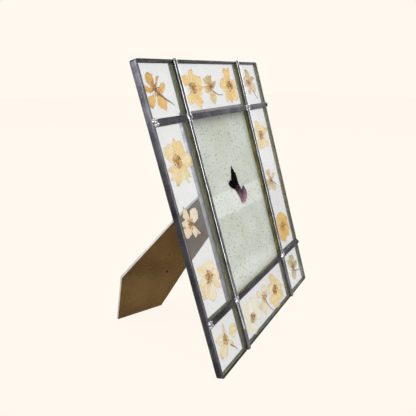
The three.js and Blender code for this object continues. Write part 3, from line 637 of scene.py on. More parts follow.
# A U-shaped length with mitred ends, its open side towards the glass.
def makeRim(name, length, x, y, turn, finish="rim"):
    face = rimShape["face"]
    piece = addBlock(name, (0, length), (0, face), (-rimDepth, 0))
    pick(piece, "FACE", lambda centre, normal: normal.y > 0.9)
    bpy.ops.mesh.inset(thickness=rimShape["flange"] * mm)
    inward = (0, (rimShape["wall"] - face) * mm, 0)
    bpy.ops.mesh.extrude_region_move(TRANSFORM_OT_translate={"value": inward})
    done()
    roundEdges(piece, lambda a, b: a.y + b.y < near and abs(a.z - b.z) > 1, rimShape["cornerRadius"], 6)
    onFace = lambda a, b: abs(a.z - b.z) < near and abs(abs(a.z + rimDepth / 2) - rimDepth / 2) < near
    reach = rimShape["cornerRadius"] + near
    roundEdges(piece, lambda a, b: onFace(a, b) and a.y < reach and b.y < reach, rimShape["edgeRadius"], 5)
    inner = rimShape["innerRadius"]
    roundEdges(piece, lambda a, b: a.z + b.z > -near and a.y + b.y > 2 * face - near, inner, 2)
    pickAll(piece)
    gap = rimShape["gap"] * mm
    bpy.ops.mesh.bisect(plane_co=(gap, 0, 0), plane_no=(1, -1, 0), use_fill=True, clear_inner=True)
    bpy.ops.mesh.select_all(action="SELECT")
    farEnd = (length * mm - gap, 0, 0)
    bpy.ops.mesh.bisect(plane_co=farEnd, plane_no=(1, 1, 0), use_fill=True, clear_outer=True)
    done()
    cutLengthwise(piece, 0, 20, int(length / 5))
    tidyNormals(piece)
    coatGrooved(piece, finishes[finish])
    for face in piece.data.polygons:
        if face.center.y / mm < rimShape["wall"] - 0.1:
            face.material_index = 0
    leanBack(piece, x, y, 0, turn)
    waver(piece, rimShape["wave"], 9)
    return dress(piece, None, replaces=[name])


makeRim("rim_bottom", size["width"], -halfWidth, 0, 0)
makeRim("rim_right", size["height"], halfWidth, 0, math.pi / 2)
makeRim("rim_top", size["width"], halfWidth, size["height"], math.pi)
makeRim("rim_left", size["height"], -halfWidth, size["height"], -math.pi / 2, "sideRim")
print("rim made")

barShape = {"face": 5.0, "rise": 0.8, "edge": 0.4, "back": 6.0, "wave": 0.12}
solderShape = {
    "dome": (3.4, 4.1, 2.35), "domeFloor": -0.4, "rightEnd": (3.1, 2.5, 1.55), "nubReach": 1.9,
    "floor": 0.1, "rough": 0.3,
}
# The two balls at a left end, above and below its middle line: place and half sizes.
solderBalls = [((0.2, 1.45), (2.9, 1.9, 1.85)), ((0.8, -1.45), (2.9, 1.6, 1.65))]


# Two plates with a web between them, along y from zero.
def addGrooved(name, length, plateWidth, plateTop, backWidth):
    web = cameShape["web"]
    flange = cameShape["flange"]
    piece = addBlock(name, (-web / 2, web / 2), (0, length), (-rimDepth + flange, -flange))
    for side, width, thickness in ((1, plateWidth, plateTop + flange), (-1, backWidth, flange)):
        level = -flange if side > 0 else -rimDepth + flange
        pick(piece, "FACE", lambda centre, normal: normal.z * side > 0.9 and abs(centre.z - level) < near)
        bpy.ops.mesh.extrude_region_move(TRANSFORM_OT_translate={"value": (0, 0, 0)})
        bpy.ops.transform.resize(value=(width / web, 1, 1))
        bpy.ops.mesh.extrude_region_move(TRANSFORM_OT_translate={"value": (0, 0, side * thickness * mm)})
        done()
    return piece


def makeUpright(name, x, seed):
    inner = rimShape["face"] + cameShape["gap"]
    half = cameShape["bead"] / 2
    rise = cameShape["beadRise"]
    ends = (-cameShape["overhang"], size["height"] + cameShape["overhang"])
    bead = addBlock(name + "_bead", (-half, half), ends, (cameShape["gap"], rise))
    roundEdges(bead, lambda a, b: abs(a.z - b.z) > 1, cameShape["beadEnd"], 6)
    radius = rise - cameShape["beadFoot"]
    roundEdges(bead, lambda a, b: a.z > rise - near and b.z > rise - near, radius, 9)
    for vertex in bead.data.vertices:
        climb = max(0, vertex.co.z / mm - cameShape["beadFoot"]) / (radius + near)
        drop = math.sqrt(max(0, 1 - climb**2))
        vertex.co.x *= half * drop / (half - radius + radius * drop)
    inset = cameShape["plateInset"]
    plate = cameShape["bead"] - inset
    grooved = addGrooved(name, size["height"] - 2 * inner, plate, inset, cameShape["back"])
    coatGrooved(grooved, finishes["upright"])
    bead.data.materials.append(finishes["upright"])
    leanBack(grooved, x, inner)
    leanBack(bead, x)
    piece = joinPieces([grooved, bead], name)
    cutLengthwise(piece, 2, 20, 48)
    tidyNormals(piece)
    waver(piece, cameShape["wave"], 11)
    dress(piece, None, replaces=[name])
    lumps = []
    for row, height in (("low", size["lowBar"]), ("high", size["highBar"])):
        seed += 3
        lump = addLump(name + "_" + row, (0, height, 0), solderShape["dome"], solderShape["domeFloor"], seed)
        lumps.append(leanBack(lump, x))
    solder = joinPieces(lumps, name + "_solder")
    dress(solder, finishes["solder"], replaces=[name], smoothAngle=60)


def makeBar(name, x0, x1, height, end, seed):
    piece = addGrooved(name, x1 - x0, barShape["face"], barShape["rise"], barShape["back"])
    top = barShape["rise"] - near
    roundEdges(piece, lambda a, b: a.z > top and b.z > top and abs(a.y - b.y) > 10, barShape["edge"], 3)
    cutLengthwise(piece, 1, 10, int((x1 - x0) / 4))
    tidyNormals(piece)
    coatGrooved(piece, finishes["bar"])
    leanBack(piece, x0, height, 0, -math.pi / 2)
    waver(piece, barShape["wave"], 8)
    dress(piece, None, replaces=[name])
    floor = solderShape["floor"]
    rough = solderShape["rough"]
    if end == "solder":
        balls = []
        for step, ((x, y), halves) in enumerate(solderBalls):
            place = (x0 + x, height + y, floor)
            balls.append(addLump("ball", place, halves, floor, seed + 1 - 2 * step, rough))
        lump = joinPieces(balls, name + "_solder")
        dress(leanBack(lump), finishes["solder"], replaces=[name], smoothAngle=60)
    if end == "nub":
        place = (x1 + solderShape["nubReach"], height, floor)
        lump = addLump(name + "_nub", place, solderShape["rightEnd"], floor, seed, rough)
        dress(leanBack(lump), finishes["bar"], replaces=[name], smoothAngle=60)


makeUpright("came_left", -size["upright"], 1)
makeUpright("came_right", size["upright"], 20)
rimSide = halfWidth - rimShape["face"] - cameShape["gap"]
cameSide = size["upright"] + cameShape["back"] / 2 + cameShape["gap"]
middleSide = size["upright"] - cameShape["back"] / 2 - cameShape["gap"]
for row, height, seed in (("low", size["lowBar"], 40), ("high", size["highBar"], 60)):
    makeBar("bar_" + row + "_left", -rimSide, -cameSide, height, "solder", seed)
    makeBar("bar_" + row + "_middle", -middleSide, middleSide, height, "", seed)
    makeBar("bar_" + row + "_right", cameSide, rimSide, height, "nub", seed + 5)
print("uprights and cross bars made")

for nodeName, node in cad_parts.items():
    if nodeName.startswith("glass_"):
        node.data.materials.clear()
        sheetKind = nodeName.split("_")[1]
        node.data.materials.append(finishes[sheetKind + "Glass"])

# The rectangles that the panes fill, as far as a flower may reach.
paneEdge = cameShape["web"] / 2 + 0.3
rimPaneEdge = rimShape["wall"] + 0.3
columns = {
    "left": (-halfWidth + rimPaneEdge, -size["upright"] - paneEdge),
    "middle": (-size["upright"] + paneEdge, size["upright"] - paneEdge),
    "right": (size["upright"] + paneEdge, halfWidth - rimPaneEdge),
}
rows = {
    "bottom": (rimPaneEdge, size["lowBar"] - paneEdge),
    "centre": (size["lowBar"] + paneEdge, size["highBar"] - paneEdge),
    "top": (size["highBar"] + paneEdge, size["height"] - rimPaneEdge),
}

# Each petal is the outline x, y, x, y ... run round it, across and down the sheet. A heart is x, y and two
# half widths, and a stem is a line of points.
flowers = {
    "flower_top_left": {
        "tint": "burnt", "stamens": 0, "pane": ("left", "top"), "stemWidth": 2.2,
        "heart": (13.5, 20.5, 4.0, 4.4),
        "petals": [
            (9, 9, 15, 10.5, 14.5, 15.5, 13, 20, 11, 19, 7, 17, 5.8, 14, 7, 11),
            (15, 19, 16, 16.5, 19, 11.5, 21.8, 12, 20, 15, 17.5, 18),
            (15, 22, 19, 20, 22, 17.3, 26, 17.3, 27.2, 18.8, 25, 22, 21, 24.5, 16, 24),
            (2.2, 18, 4.5, 18, 8, 19.5, 12, 20, 12, 22, 7.5, 23.5, 4, 23, 2, 21.5),
            (13, 23, 11, 25, 10.8, 29, 8, 33, 4.5, 34.8, 2.5, 32, 2.8, 28, 4.5, 25.5, 8, 25.3),
            (14, 22, 19.5, 25, 23.5, 29.5, 24, 31.5, 22, 35,
             20.5, 37.3, 18, 36.5, 14, 34.5, 12, 31.5, 13, 29),
        ],
        "stem": (15, 24, 20, 27, 24, 29.5, 28, 31.5, 32.5, 34.2),
    },
    "flower_top_mid_left": {
        "tint": "gold", "stamens": 15, "pane": ("middle", "top"),
        "heart": (63.5, 22, 4.5, 4),
        "petals": [
            (51, 13.5, 56, 11, 60.5, 13, 62, 17, 64, 22, 58, 20, 52, 20),
            (61, 11, 65, 7.5, 68.5, 7, 70, 10.5, 71, 14, 68, 19, 65, 22, 62, 14),
            (67, 21, 70, 12, 78, 13, 80, 16, 79, 19.5, 72, 22),
            (64, 22, 68, 20, 78, 19.5, 80, 22, 76, 25, 70, 25.5),
            (64, 23, 70, 25, 76, 26.5, 75, 28.5, 70, 29, 66, 28),
            (63, 23, 61, 33, 65, 37, 69.8, 40.3, 70.5, 36, 70, 30, 67, 26),
            (66, 26, 66, 32, 70, 36, 74, 35, 73, 31),
            (51, 33, 51, 28, 55, 27, 62, 23, 62, 32, 60, 33.5, 57, 35, 53, 34),
        ],
    },
    "flower_top_middle": {
        "tint": "brown", "stamens": 0, "pane": ("middle", "top"),
        "heart": (92, 22, 4, 2.8),
        "petals": [
            (87.5, 14.5, 91, 12, 93, 11.5, 96, 12.5, 98.5, 12, 97.5, 15, 97, 20, 92, 22, 89, 18),
            (83.5, 14.5, 86, 15, 89, 18, 91, 22, 88.5, 21, 84.5, 19, 83.5, 16.5),
            (81, 21, 86, 20.5, 91, 21, 91, 24, 86, 27, 81, 26, 82, 23.5),
            (93, 23, 96.5, 19, 99, 17.5, 104, 17.3, 102, 20, 99, 22.5, 97, 23.8),
            (91, 23, 94, 25, 97.5, 28, 98, 32, 95.5, 35.5, 93, 37, 90, 35.5, 87.5, 32, 88, 28),
        ],
        "stem": (90, 23, 97, 27, 101, 28.8, 105, 29.6, 110.3, 30),
    },
    "flower_top_mid_right": {
        "tint": "gold", "stamens": 17, "pane": ("middle", "top"),
        "heart": (128, 22, 5, 3.2),
        "petals": [
            (126, 22, 122, 14, 121, 9, 122.5, 6, 126, 5.5, 129, 7, 131, 6, 134, 5.5, 134, 12, 130, 21),
            (110, 20.5, 112, 17, 117, 14.5, 123, 15, 127, 21, 122, 26, 117, 27.5, 113, 25, 109.8, 22.5),
            (117, 27, 116, 33, 116, 36.5, 118.5, 37, 121, 35, 126, 24, 122, 23),
            (121, 34, 124.5, 38.5, 128, 36, 129.5, 29, 128, 23, 124, 24, 121, 29),
            (127, 22, 137, 26, 140, 30, 140, 34, 136, 36, 130, 36, 127, 32),
            (130, 21, 133, 17, 138, 16.5, 140, 20, 140, 26, 134, 25),
        ],
    },
    "flower_top_right": {
        "tint": "rosy", "stamens": 0, "pane": ("right", "top"),
        "heart": (170, 20.5, 4.2, 2.2),
        "petals": [
            (167, 8, 170, 7, 173.5, 8, 176, 11.5, 175.5, 14, 172, 20, 168.5, 20, 167, 12),
            (158.5, 17, 162, 14.5, 167, 14, 171, 20, 163, 19),
            (158, 22, 160, 20, 166, 19, 170, 21, 168, 23, 164, 24.5, 159, 23.5),
            (172, 20, 176, 15, 179, 13.8, 183, 14.5, 186, 15.8, 182, 18, 178, 20, 174, 21.5),
            (171, 20, 180, 21, 183, 24, 183.5, 28, 180, 31, 177, 31.5, 173, 27),
            (170, 21, 167, 26, 165, 29, 165.5, 32, 168, 32.5, 171, 29, 173, 24),
        ],
        "stem": (176, 29, 180, 34.5, 183.2, 37.5),
    },
    "flower_left_high": {
        "tint": "peach", "stamens": 16, "pane": ("left", "centre"),
        "heart": (17, 75.5, 4, 4),
        "petals": [
            (19.8, 58, 22, 61, 23.5, 66, 23.5, 70, 19, 77, 17, 70, 16, 64, 17.5, 60),
            (9.5, 61.5, 13, 61.5, 16.5, 64, 19, 75, 15, 74, 11, 72, 8, 67),
            (5.5, 63.5, 9, 63.5, 12, 66, 17, 75, 9, 75, 5.5, 71, 3.5, 68),
            (18, 75, 22, 62, 27, 60.5, 29, 64, 29.5, 70, 25, 74),
            (17, 76, 23, 72, 26, 70.5, 31, 71, 35, 72.5, 36.5, 77.5, 34, 79, 30, 79.5, 23, 79),
            (20, 77, 26, 78.5, 35, 79, 34.5, 82, 28, 82.5, 22, 80),
            (17, 77, 25, 81, 28, 85, 29.5, 90, 26, 89.5, 22, 87, 18, 82),
            (20, 84, 24, 90, 26.5, 94, 23, 93, 20, 90, 18, 85),
            (17, 76, 17.5, 84, 17, 90, 13, 92.5, 9.5, 93, 9, 88, 10, 84),
            (4, 80, 10, 79, 17, 76, 14, 84, 8, 88, 4, 87, 6, 84),
            (3.5, 79, 9, 77, 16, 75, 14, 79, 8, 81, 3.5, 81),
        ],
    },
    "flower_left_middle": {
        "tint": "pale", "stamens": 0, "pane": ("left", "centre"),
        "heart": (12.5, 123.5, 3, 3.4),
        "petals": [
            (9, 109, 12, 112, 13.5, 117, 13, 124, 10, 121, 6.5, 118, 5.8, 114.5, 7.5, 111),
            (15.5, 115, 18, 113, 22, 113, 25, 114.5, 25.8, 118, 24, 122, 21, 123.3, 14, 125, 13.5, 121),
            (2, 120, 5, 118.7, 9, 119.7, 14, 124, 11, 126, 6, 124.5, 2.5, 123),
            (1.5, 126, 5, 124, 13, 124, 11, 130.5, 8, 132.5, 5, 132.7, 2, 131, 1, 129),
            (12, 125, 15, 127, 18, 131, 17.5, 134, 14, 134.5, 12, 131),
            (14, 125, 19, 128, 22.5, 133.5, 19, 133.5, 15, 129),
        ],
        "stem": (12, 121.5, 17, 126, 21, 131.5, 24, 135, 27.5, 139),
    },
    "flower_left_low": {
        "tint": "cream", "stamens": 15, "pane": ("left", "centre"),
        "heart": (17.5, 168.5, 4.2, 4.2),
        "petals": [
            (5.5, 157.5, 9, 156.5, 13, 157, 15.5, 160, 18, 168, 12, 167, 6, 162),
            (15, 158, 22, 156, 26, 158.5, 28, 160, 28, 165, 22, 167, 18, 169),
            (18, 168, 29, 166, 32, 170, 31.5, 175, 27, 177, 22, 173),
            (18, 169, 28, 178, 31, 182, 29, 183, 23, 180),
            (12, 178, 11, 184, 13, 187.5, 16, 189, 20, 187, 22, 184, 21, 176, 18, 169, 15, 172),
            (3.5, 176, 12, 173, 18, 168, 13, 182, 8, 183, 4, 182),
            (1.5, 171, 5, 167, 17, 168, 12, 175, 5, 176, 1.5, 173),
        ],
    },
    "flower_bottom_left": {
        "tint": "cream", "stamens": 0, "pane": ("left", "bottom"),
        "heart": (17.5, 223, 3, 3.6),
        "petals": [
            (19.3, 209.8, 21, 215, 20.5, 221, 18, 224, 16, 220, 16, 216, 17.5, 212),
            (4, 217.5, 8, 215.5, 12, 215.5, 18, 222, 14, 225, 9, 224, 6, 221),
            (5, 229, 7, 226, 11, 224.5, 18, 223, 18, 229, 17.5, 234, 13, 236, 8, 235, 5.5, 233),
            (18, 220, 23, 226, 26.5, 230, 27, 232, 23, 232.5, 19, 229, 16, 224),
        ],
        "stem": (22, 230, 25.5, 233.5, 28, 236, 30, 239.3),
    },
    "loose_petal": {
        "tint": "cream", "stamens": 0, "pane": ("left", "bottom"),
        "petals": [
            (25, 221, 28, 217, 33, 216.5, 36.5, 220, 36.5, 224, 34, 227.5, 30, 229, 27, 226, 25, 223),
        ],
    },
    "flower_bottom_mid_left": {
        "tint": "milk", "stamens": 16, "pane": ("middle", "bottom"),
        "heart": (66, 229, 4, 3.4),
        "petals": [
            (52.5, 213, 57, 212, 62, 215, 66, 222, 67, 230, 60, 226, 54, 219),
            (61, 214, 66, 212.5, 72, 211, 75, 214, 72, 222, 66, 230, 62, 222),
            (74, 214, 78, 216, 81.5, 220, 81, 225, 74, 228, 66, 230, 70, 220),
            (81, 225, 80.5, 232, 77, 236.5, 71, 234, 66, 229, 73, 226),
            (72, 239, 68, 243, 63.5, 244, 60, 240, 62, 233, 66, 228, 71, 233),
            (52, 236, 56, 239, 61, 238, 67, 230, 60, 229, 53, 230),
            (51, 228, 50.5, 222, 55, 219, 61, 224, 67, 229, 58, 230),
        ],
    },
    "flower_bottom_middle": {
        "tint": "cream", "stamens": 0, "pane": ("middle", "bottom"),
        "heart": (95.5, 222.5, 4.5, 3.6),
        "petals": [
            (85, 211.5, 88, 213.5, 95, 222, 88, 220, 83.5, 219, 83, 215),
            (93, 214, 97, 212, 101, 213, 103, 216, 102, 219, 96, 223),
            (82, 227, 86, 224, 95, 222, 93, 228, 85, 230, 82, 229),
            (86, 229, 93, 225, 95, 223, 97, 232, 96, 236, 91, 238.5, 88, 237.5, 85, 233),
            (95, 222, 101.5, 218.5, 103.3, 221, 100.5, 224),
        ],
        "stem": (95, 224, 98, 231, 100.5, 235, 104, 239.5, 107, 242),
    },
    "flower_bottom_mid_right": {
        "tint": "peach", "stamens": 17, "pane": ("middle", "bottom"),
        "heart": (119.5, 226, 4.6, 3.8),
        "petals": [
            (115, 208.5, 119, 209, 123, 211, 126, 215.5, 127, 217.5, 120, 226, 115, 216, 113, 212),
            (106, 217, 110, 216, 115, 217, 121, 226, 112, 226, 107, 225.5, 104.8, 221),
            (103.5, 230, 108, 228, 120, 226, 114, 234, 108.5, 236, 105, 233),
            (108, 238, 114, 234, 119, 226, 124, 239, 121, 244, 116, 244),
            (120, 226, 126, 218, 131, 219, 134, 223, 138, 228, 140, 230, 136, 232, 128, 231),
            (119, 226, 133, 232, 135, 237, 131, 240, 125, 239, 120, 233),
        ],
    },
    "flower_bottom_right": {
        "tint": "olive", "stamens": 0, "pane": ("right", "bottom"),
        "heart": (173, 223, 2.8, 3.4),
        "petals": [
            (168, 211.5, 172, 209, 176, 210.5, 180.5, 212.5, 180, 217, 173, 223, 170, 219, 167.5, 215),
            (162.5, 211.5, 166, 213, 169, 217, 174, 223, 169, 223, 165, 220, 163, 216),
            (172, 222, 180, 219, 184, 219.5, 186.5, 221, 184, 224, 180, 226, 173, 225),
            (166, 228, 172, 223, 177, 229, 179, 232, 176, 236, 172, 237.5, 168, 235, 165.5, 231),
        ],
        "stem": (172, 223, 176, 228, 180, 230, 185, 231, 189.5, 233),
    },
    "flower_right_high": {
        "tint": "peach", "stamens": 15, "pane": ("right", "centre"),
        "heart": (170, 75, 4.6, 3.8),
        "petals": [
            (162, 62, 168, 59, 171, 61, 174, 66, 171, 76, 165, 70, 161, 66),
            (158.5, 68, 165, 70, 171, 75, 162, 78, 158, 76),
            (170, 76, 178, 65, 183, 67, 190, 70.5, 184, 75, 174, 76),
            (170, 75, 180, 78, 184, 82, 184.5, 88.5, 180, 88, 174, 86),
            (170, 75, 174, 84, 173, 88, 167, 88, 166, 82),
            (160, 80, 170, 75, 168, 84, 166, 88, 162, 89.5, 159, 86),
        ],
    },
    "flower_right_middle": {
        "tint": "rosy", "stamens": 0, "pane": ("right", "centre"),
        "heart": (169, 123.5, 3, 3),
        "petals": [
            (162, 112.5, 165, 111.5, 168, 112, 171, 110.5,
             172, 113, 171.5, 117, 169, 124, 164, 119, 161.5, 115),
            (169, 124, 174, 118.5, 178, 116.5, 182, 117.5, 180, 120, 176, 123),
            (158, 122, 160, 120.5, 170, 123, 163, 128, 159, 127),
            (157.5, 131, 163, 127, 169, 123, 165, 130, 162, 132, 158, 132),
            (166, 129, 169, 123, 177, 130, 178, 133.5, 174, 135.5, 170, 134.5),
        ],
        "stem": (169, 123, 175, 127, 180, 130, 184, 133.8),
    },
    "flower_right_low": {
        "tint": "tan", "stamens": 18, "pane": ("right", "centre"),
        "heart": (171, 175, 6, 4),
        "petals": [
            (162, 162, 166, 160.5, 171, 159.5, 175, 161, 173, 176, 164, 172),
            (174, 161, 178, 161.5, 181, 164, 185, 167, 172, 176),
            (184, 167, 188, 170, 186, 173, 185, 178, 171, 177, 175, 169),
            (185, 177, 187.5, 183, 184, 185, 181, 189, 171, 176),
            (182, 187, 177, 188.5, 173, 190, 171.5, 193, 168.5, 192, 168, 189, 171, 175),
            (169, 190, 163, 190, 160.5, 188, 160, 183, 171, 174, 173, 180),
            (160, 185, 158, 179, 157.5, 173, 159, 168, 160, 165, 164, 162, 172, 175),
        ],
    },
}

driedPetals = [
    (97.7, 93.5, 99.7, 97.5, 102.7, 102.5, 103.2, 108.5, 104, 115.5,
     102, 122, 96, 117.5, 92, 106, 94.2, 100.5),
    (86, 108, 88.2, 106, 92.2, 105.5, 98, 106, 99, 113, 94.2, 115, 89.2, 113, 86.2, 110.5),
    (98, 113, 104, 114, 106.2, 119, 104.2, 129, 102.7, 130.8, 100.7, 128.5, 99.7, 124.5, 96.5, 118),
    (104, 120, 107.7, 117, 109.7, 115, 112.2, 116.5, 114.2, 121.5, 113.7, 126.5, 108.2, 130.5, 103.5, 128),
]
petalShape = {
    "loop": 120, "rows": 34, "across": 12, "crinkle": 0.52, "tear": 3.6, "tearFrom": 0.12, "wave": 0.05,
    "thickness": 0.05, "paneGap": 0.2,
}
heartShape = {"lumps": 9, "turn": 2.4, "reach": 0.5, "spread": 0.24, "vary": 0.16, "thickness": 0.2}
stamenShape = {
    "fewest": 9, "start": 0.3, "reach": 1.12, "vary": 0.7, "bend": 0.08, "uneven": 0.12,
    "thread": (0.65, 0.4), "anther": (0.75, 0.65, 0.14),
}
flowerLevels = (-3.27, -2.78)  # between the two sheets of a pane
driedLevel = -4.54


def onSheet(numbers):
    return [Vector((x - sheet["left"], sheet["top"] - y, 0)) for x, y in zip(numbers[0::2], numbers[1::2])]


def between(a, b, c, d, t):
    first = b * 2 + (c - a) * t + (a * 2 - b * 5 + c * 4 - d) * t**2
    return (first + (b * 3 - a - c * 3 + d) * t**3) / 2


# A smooth closed line through the points.
def smoothLoop(points, count):
    line = []
    steps = math.ceil(count / len(points))
    for i in range(len(points)):
        a, b, c, d = (points[(i + k) % len(points)] for k in (-1, 0, 1, 2))
        line += [between(a, b, c, d, step / steps) for step in range(steps)]
    return line


def along(line, share):
    at = share * (len(line) - 1)
    low = min(int(at), len(line) - 2)
    return line[low].lerp(line[low + 1], at - low)


# A thin sheet lofted between the two sides of its outline, from the end nearest the heart to the tip.
def addPetal(numbers, centre, level, pane, seed, wave=1.0):
    smooth = smoothLoop(onSheet(numbers), petalShape["loop"])
    area = sum(smooth[i - 1].x * smooth[i].y - smooth[i].x * smooth[i - 1].y for i in range(len(smooth)))
    up = Vector((0, 0, math.copysign(1, area)))
    farthest = max((point - centre).length for point in smooth)
    loop = []
    for i, point in enumerate(smooth):
        outward = (smooth[(i + 1) % len(smooth)] - smooth[i - 1]).cross(up).normalized()
        reach = (point - centre).length / farthest
        push = noise.noise(Vector((point.x, point.y, seed)) * 0.9) + 0.5 * noise.noise(point * 2.4)
        tear = max(0, noise.noise(Vector((point.x, point.y, -seed)) * 1.3) - petalShape["tearFrom"])
        amount = push * petalShape["crinkle"] * (0.6 + reach) - tear * petalShape["tear"] * reach
        loop.append(point + outward * amount)
    base = min(range(len(loop)), key=lambda i: (loop[i] - centre).length)
    loop = loop[base:] + loop[:base]
    tip = max(range(len(loop)), key=lambda i: (loop[i] - loop[0]).length)
    left = loop[: tip + 1]
    right = [loop[0]] + loop[:tip - 1:-1]
    rowCount = petalShape["rows"]
    across = petalShape["across"]
    gap = petalShape["paneGap"]
    points = []
    places = []
    for row in range(rowCount + 1):
        v = row / rowCount
        sides = along(left, v), along(right, v)
        for column in range(across + 1):
            u = column / across
            point = sides[0].lerp(sides[1], u)
            lift = noise.noise(Vector((point.x * 0.35, point.y * 0.35, seed)))
            lift += 0.4 * noise.noise(point * 1.1)
            x = min(max(point.x, columns[pane[0]][0] + gap), columns[pane[0]][1] - gap)
            y = min(max(point.y, rows[pane[1]][0] + gap), rows[pane[1]][1] - gap)
            points.append((x, y, level + lift * petalShape["wave"] * wave))
            places.append((u, v))
    faces = []
    for row in range(rowCount):
        for column in range(across):
            corner = row * (across + 1) + column
            faces.append((corner, corner + 1, corner + across + 2, corner + across + 1))
    piece = newPiece("petal", points, faces)
    tone = piece.data.attributes.new("petalTone", "FLOAT", "POINT")
    share = 0.5 + 0.5 * math.sin(seed * 2.3)
    for value in tone.data:
        value.value = share
    own = piece.data.attributes.new("petalSeed", "FLOAT", "POINT")
    for value in own.data:
        value.value = seed % 97
    layer = piece.data.uv_layers.new(name="petalMap")
    for corner in piece.data.loops:
        layer.data[corner.index].uv = places[corner.vertex_index]
    tidyNormals(piece)
    thick = piece.modifiers.new("thickness", "SOLIDIFY")
    thick.thickness = petalShape["thickness"] * mm
    thick.offset = 0
    applyModifiers(piece)
    return piece


# A flat tapering strip along a smooth line, as a stem or a stamen's thread.
def addStrand(name, line, widthStart, widthEnd, thickness, steps):
    points = []
    for step in range(steps + 1):
        share = step / steps
        here = along(line, share)
        ahead = along(line, min(1, share + 0.02)) - along(line, max(0, share - 0.02))
        width = widthStart + (widthEnd - widthStart) * share
        side = ahead.cross(Vector((0, 0, 1))).normalized() * width / 2
        up = Vector((0, 0, thickness / 2))
        points += [here - side, here + up, here + side, here - up]
    faces = [(0, 1, 2, 3), tuple(range(len(points) - 1, len(points) - 5, -1))]
    for step in range(steps):
        for corner in range(4):
            here, beside = step * 4 + corner, step * 4 + (corner + 1) % 4
            faces.append((here, here + 4, beside + 4, beside))
    piece = newPiece(name, points, faces)
    tidyNormals(piece)
    return piece


def openSpline(points, count):
    ends = [points[0] * 2 - points[1]] + points + [points[-1] * 2 - points[-2]]
    line = []
    for i in range(len(points) - 1):
        a, b, c, d = ends[i : i + 4]
        line += [between(a, b, c, d, step / count) for step in range(count)]
    return line + [points[-1]]


def addHeart(heart, spreadOut, level, seed):
    centreX, centreY, halfX, halfY = heart
    middle = onSheet((centreX, centreY))[0]
    lumps = []
    count = heartShape["lumps"]
    for i in range(count):
        angle = i * heartShape["turn"] + seed
        reach = math.sqrt(i / count) * heartShape["reach"] * spreadOut
        x = middle.x + math.cos(angle) * reach * halfX
        y = middle.y + math.sin(angle) * reach * halfY
        spread = heartShape["spread"] + heartShape["vary"] * noise.noise(Vector((i, seed, 0)))
        halves = (halfX * spread * spreadOut, halfY * spread * spreadOut, heartShape["thickness"])
        lumps.append(addLump("lump", (x, y, level), halves, level - 0.15, seed + i, 0.5, 2))
    return joinPieces(lumps, "heart")


def addStamens(heart, count, level, seed):
    centreX, centreY, halfX, halfY = heart
    middle = onSheet((centreX, centreY))[0]
    threads = []
    anthers = []
    for i in range(count):
        angle = i * 2 * math.pi / count + stamenShape["uneven"] * math.sin(seed + i * 5.1)
        far = stamenShape["reach"] + stamenShape["vary"] * noise.noise(Vector((i * 1.7, seed, 1)))
        ends = []
        for turn, reach in ((angle, stamenShape["start"]), (angle + stamenShape["bend"], far)):
            offset = Vector((math.cos(turn) * halfX * reach, math.sin(turn) * halfY * reach, level))
            ends.append(middle + offset)
        threads.append(addStrand("thread", ends, *stamenShape["thread"], 0.1, 2))
        anthers.append(addLump("anther", ends[1], stamenShape["anther"], level - 0.12, seed + i, 0.5, 1))
    return joinPieces(threads, "threads"), joinPieces(anthers, "anthers")


def makeFlower(name, recipe, seed):
    low, high = flowerLevels
    count = len(recipe["petals"])
    heart = recipe.get("heart")
    heartFinish, slot = tintSets[recipe["tint"]]
    middle = onSheet(heart[:2])[0] if heart else onSheet(recipe["petals"][0][:2])[0]
    petals = []
    for i, numbers in enumerate(recipe["petals"]):
        level = low + 0.02 + (high - low - 0.16) * (i % count) / max(count, 2)
        petals.append(addPetal(numbers, middle, level, recipe["pane"], seed + i))
    pieces = [(joinPieces(petals, "petals"), finishes[recipe["tint"]])]
    if "stem" in recipe:
        line = openSpline([point + Vector((0, 0, high - 0.14)) for point in onSheet(recipe["stem"])], 8)
        pieces.append((addStrand("stem", line, recipe.get("stemWidth", 1.3), 0.6, 0.2, 24), finishes["stem"]))
    if heart:
        spreadOut = 0.6 if recipe["stamens"] else 1
        pieces.append((addHeart(heart, spreadOut, high - 0.1, seed), finishes[heartFinish]))
        threads, anthers = addStamens(heart, recipe["stamens"] or stamenShape["fewest"], high - 0.06, seed)
        pieces += [(threads, finishes["stamen"]), (anthers, finishes["stamen"])]
    for piece, material in pieces:
        piece.data.materials.append(material)
    flower = leanBack(joinPieces([piece for piece, material in pieces], name))
    bpy.ops.object.shade_smooth_by_angle(angle=math.radians(50))
    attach(flower, "frame")
    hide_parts(name)


# The finish of each tint's heart and the slot of its flower.
tintSets = {
    "tan": ("heart", "petal_tan"), "burnt": ("heart", "petal_tan"), "olive": ("heart", "petal_tan"),
    "gold": ("heart", "petal_gold"), "peach": ("goldHeart", "petal_gold"),
    "cream": ("goldHeart", "petal_cream"), "pale": ("goldHeart", "petal_cream"),
    "milk": ("goldHeart", "petal_cream"), "brown": ("heart", "petal_cream"), "rosy": ("heart", "petal_cream"),
}
for i, (flowerName, recipe) in enumerate(flowers.items()):
    makeFlower(flowerName, recipe, 11 * i + 3)
print("flowers made:", len(flowers))

driedMiddle = onSheet((101, 114))[0]
driedPieces = []
for i, numbers in enumerate(driedPetals):
    level = driedLevel + 0.1 * i
    driedPetal = addPetal(numbers, driedMiddle, level, ("middle", "centre"), 300 + i, 1.5)
    driedPetal.data.materials.append(finishes["mauve" if i > 1 else "black"])
    driedPieces.append(driedPetal)
driedFlower = leanBack(joinPieces(driedPieces, "dried_flower"))
dress(driedFlower, None, replaces=["dried_flower"], smoothAngle=60)

insertShape = {"front": -4.9, "thickness": 0.35, "wave": 0.04, "grid": (40, 60)}


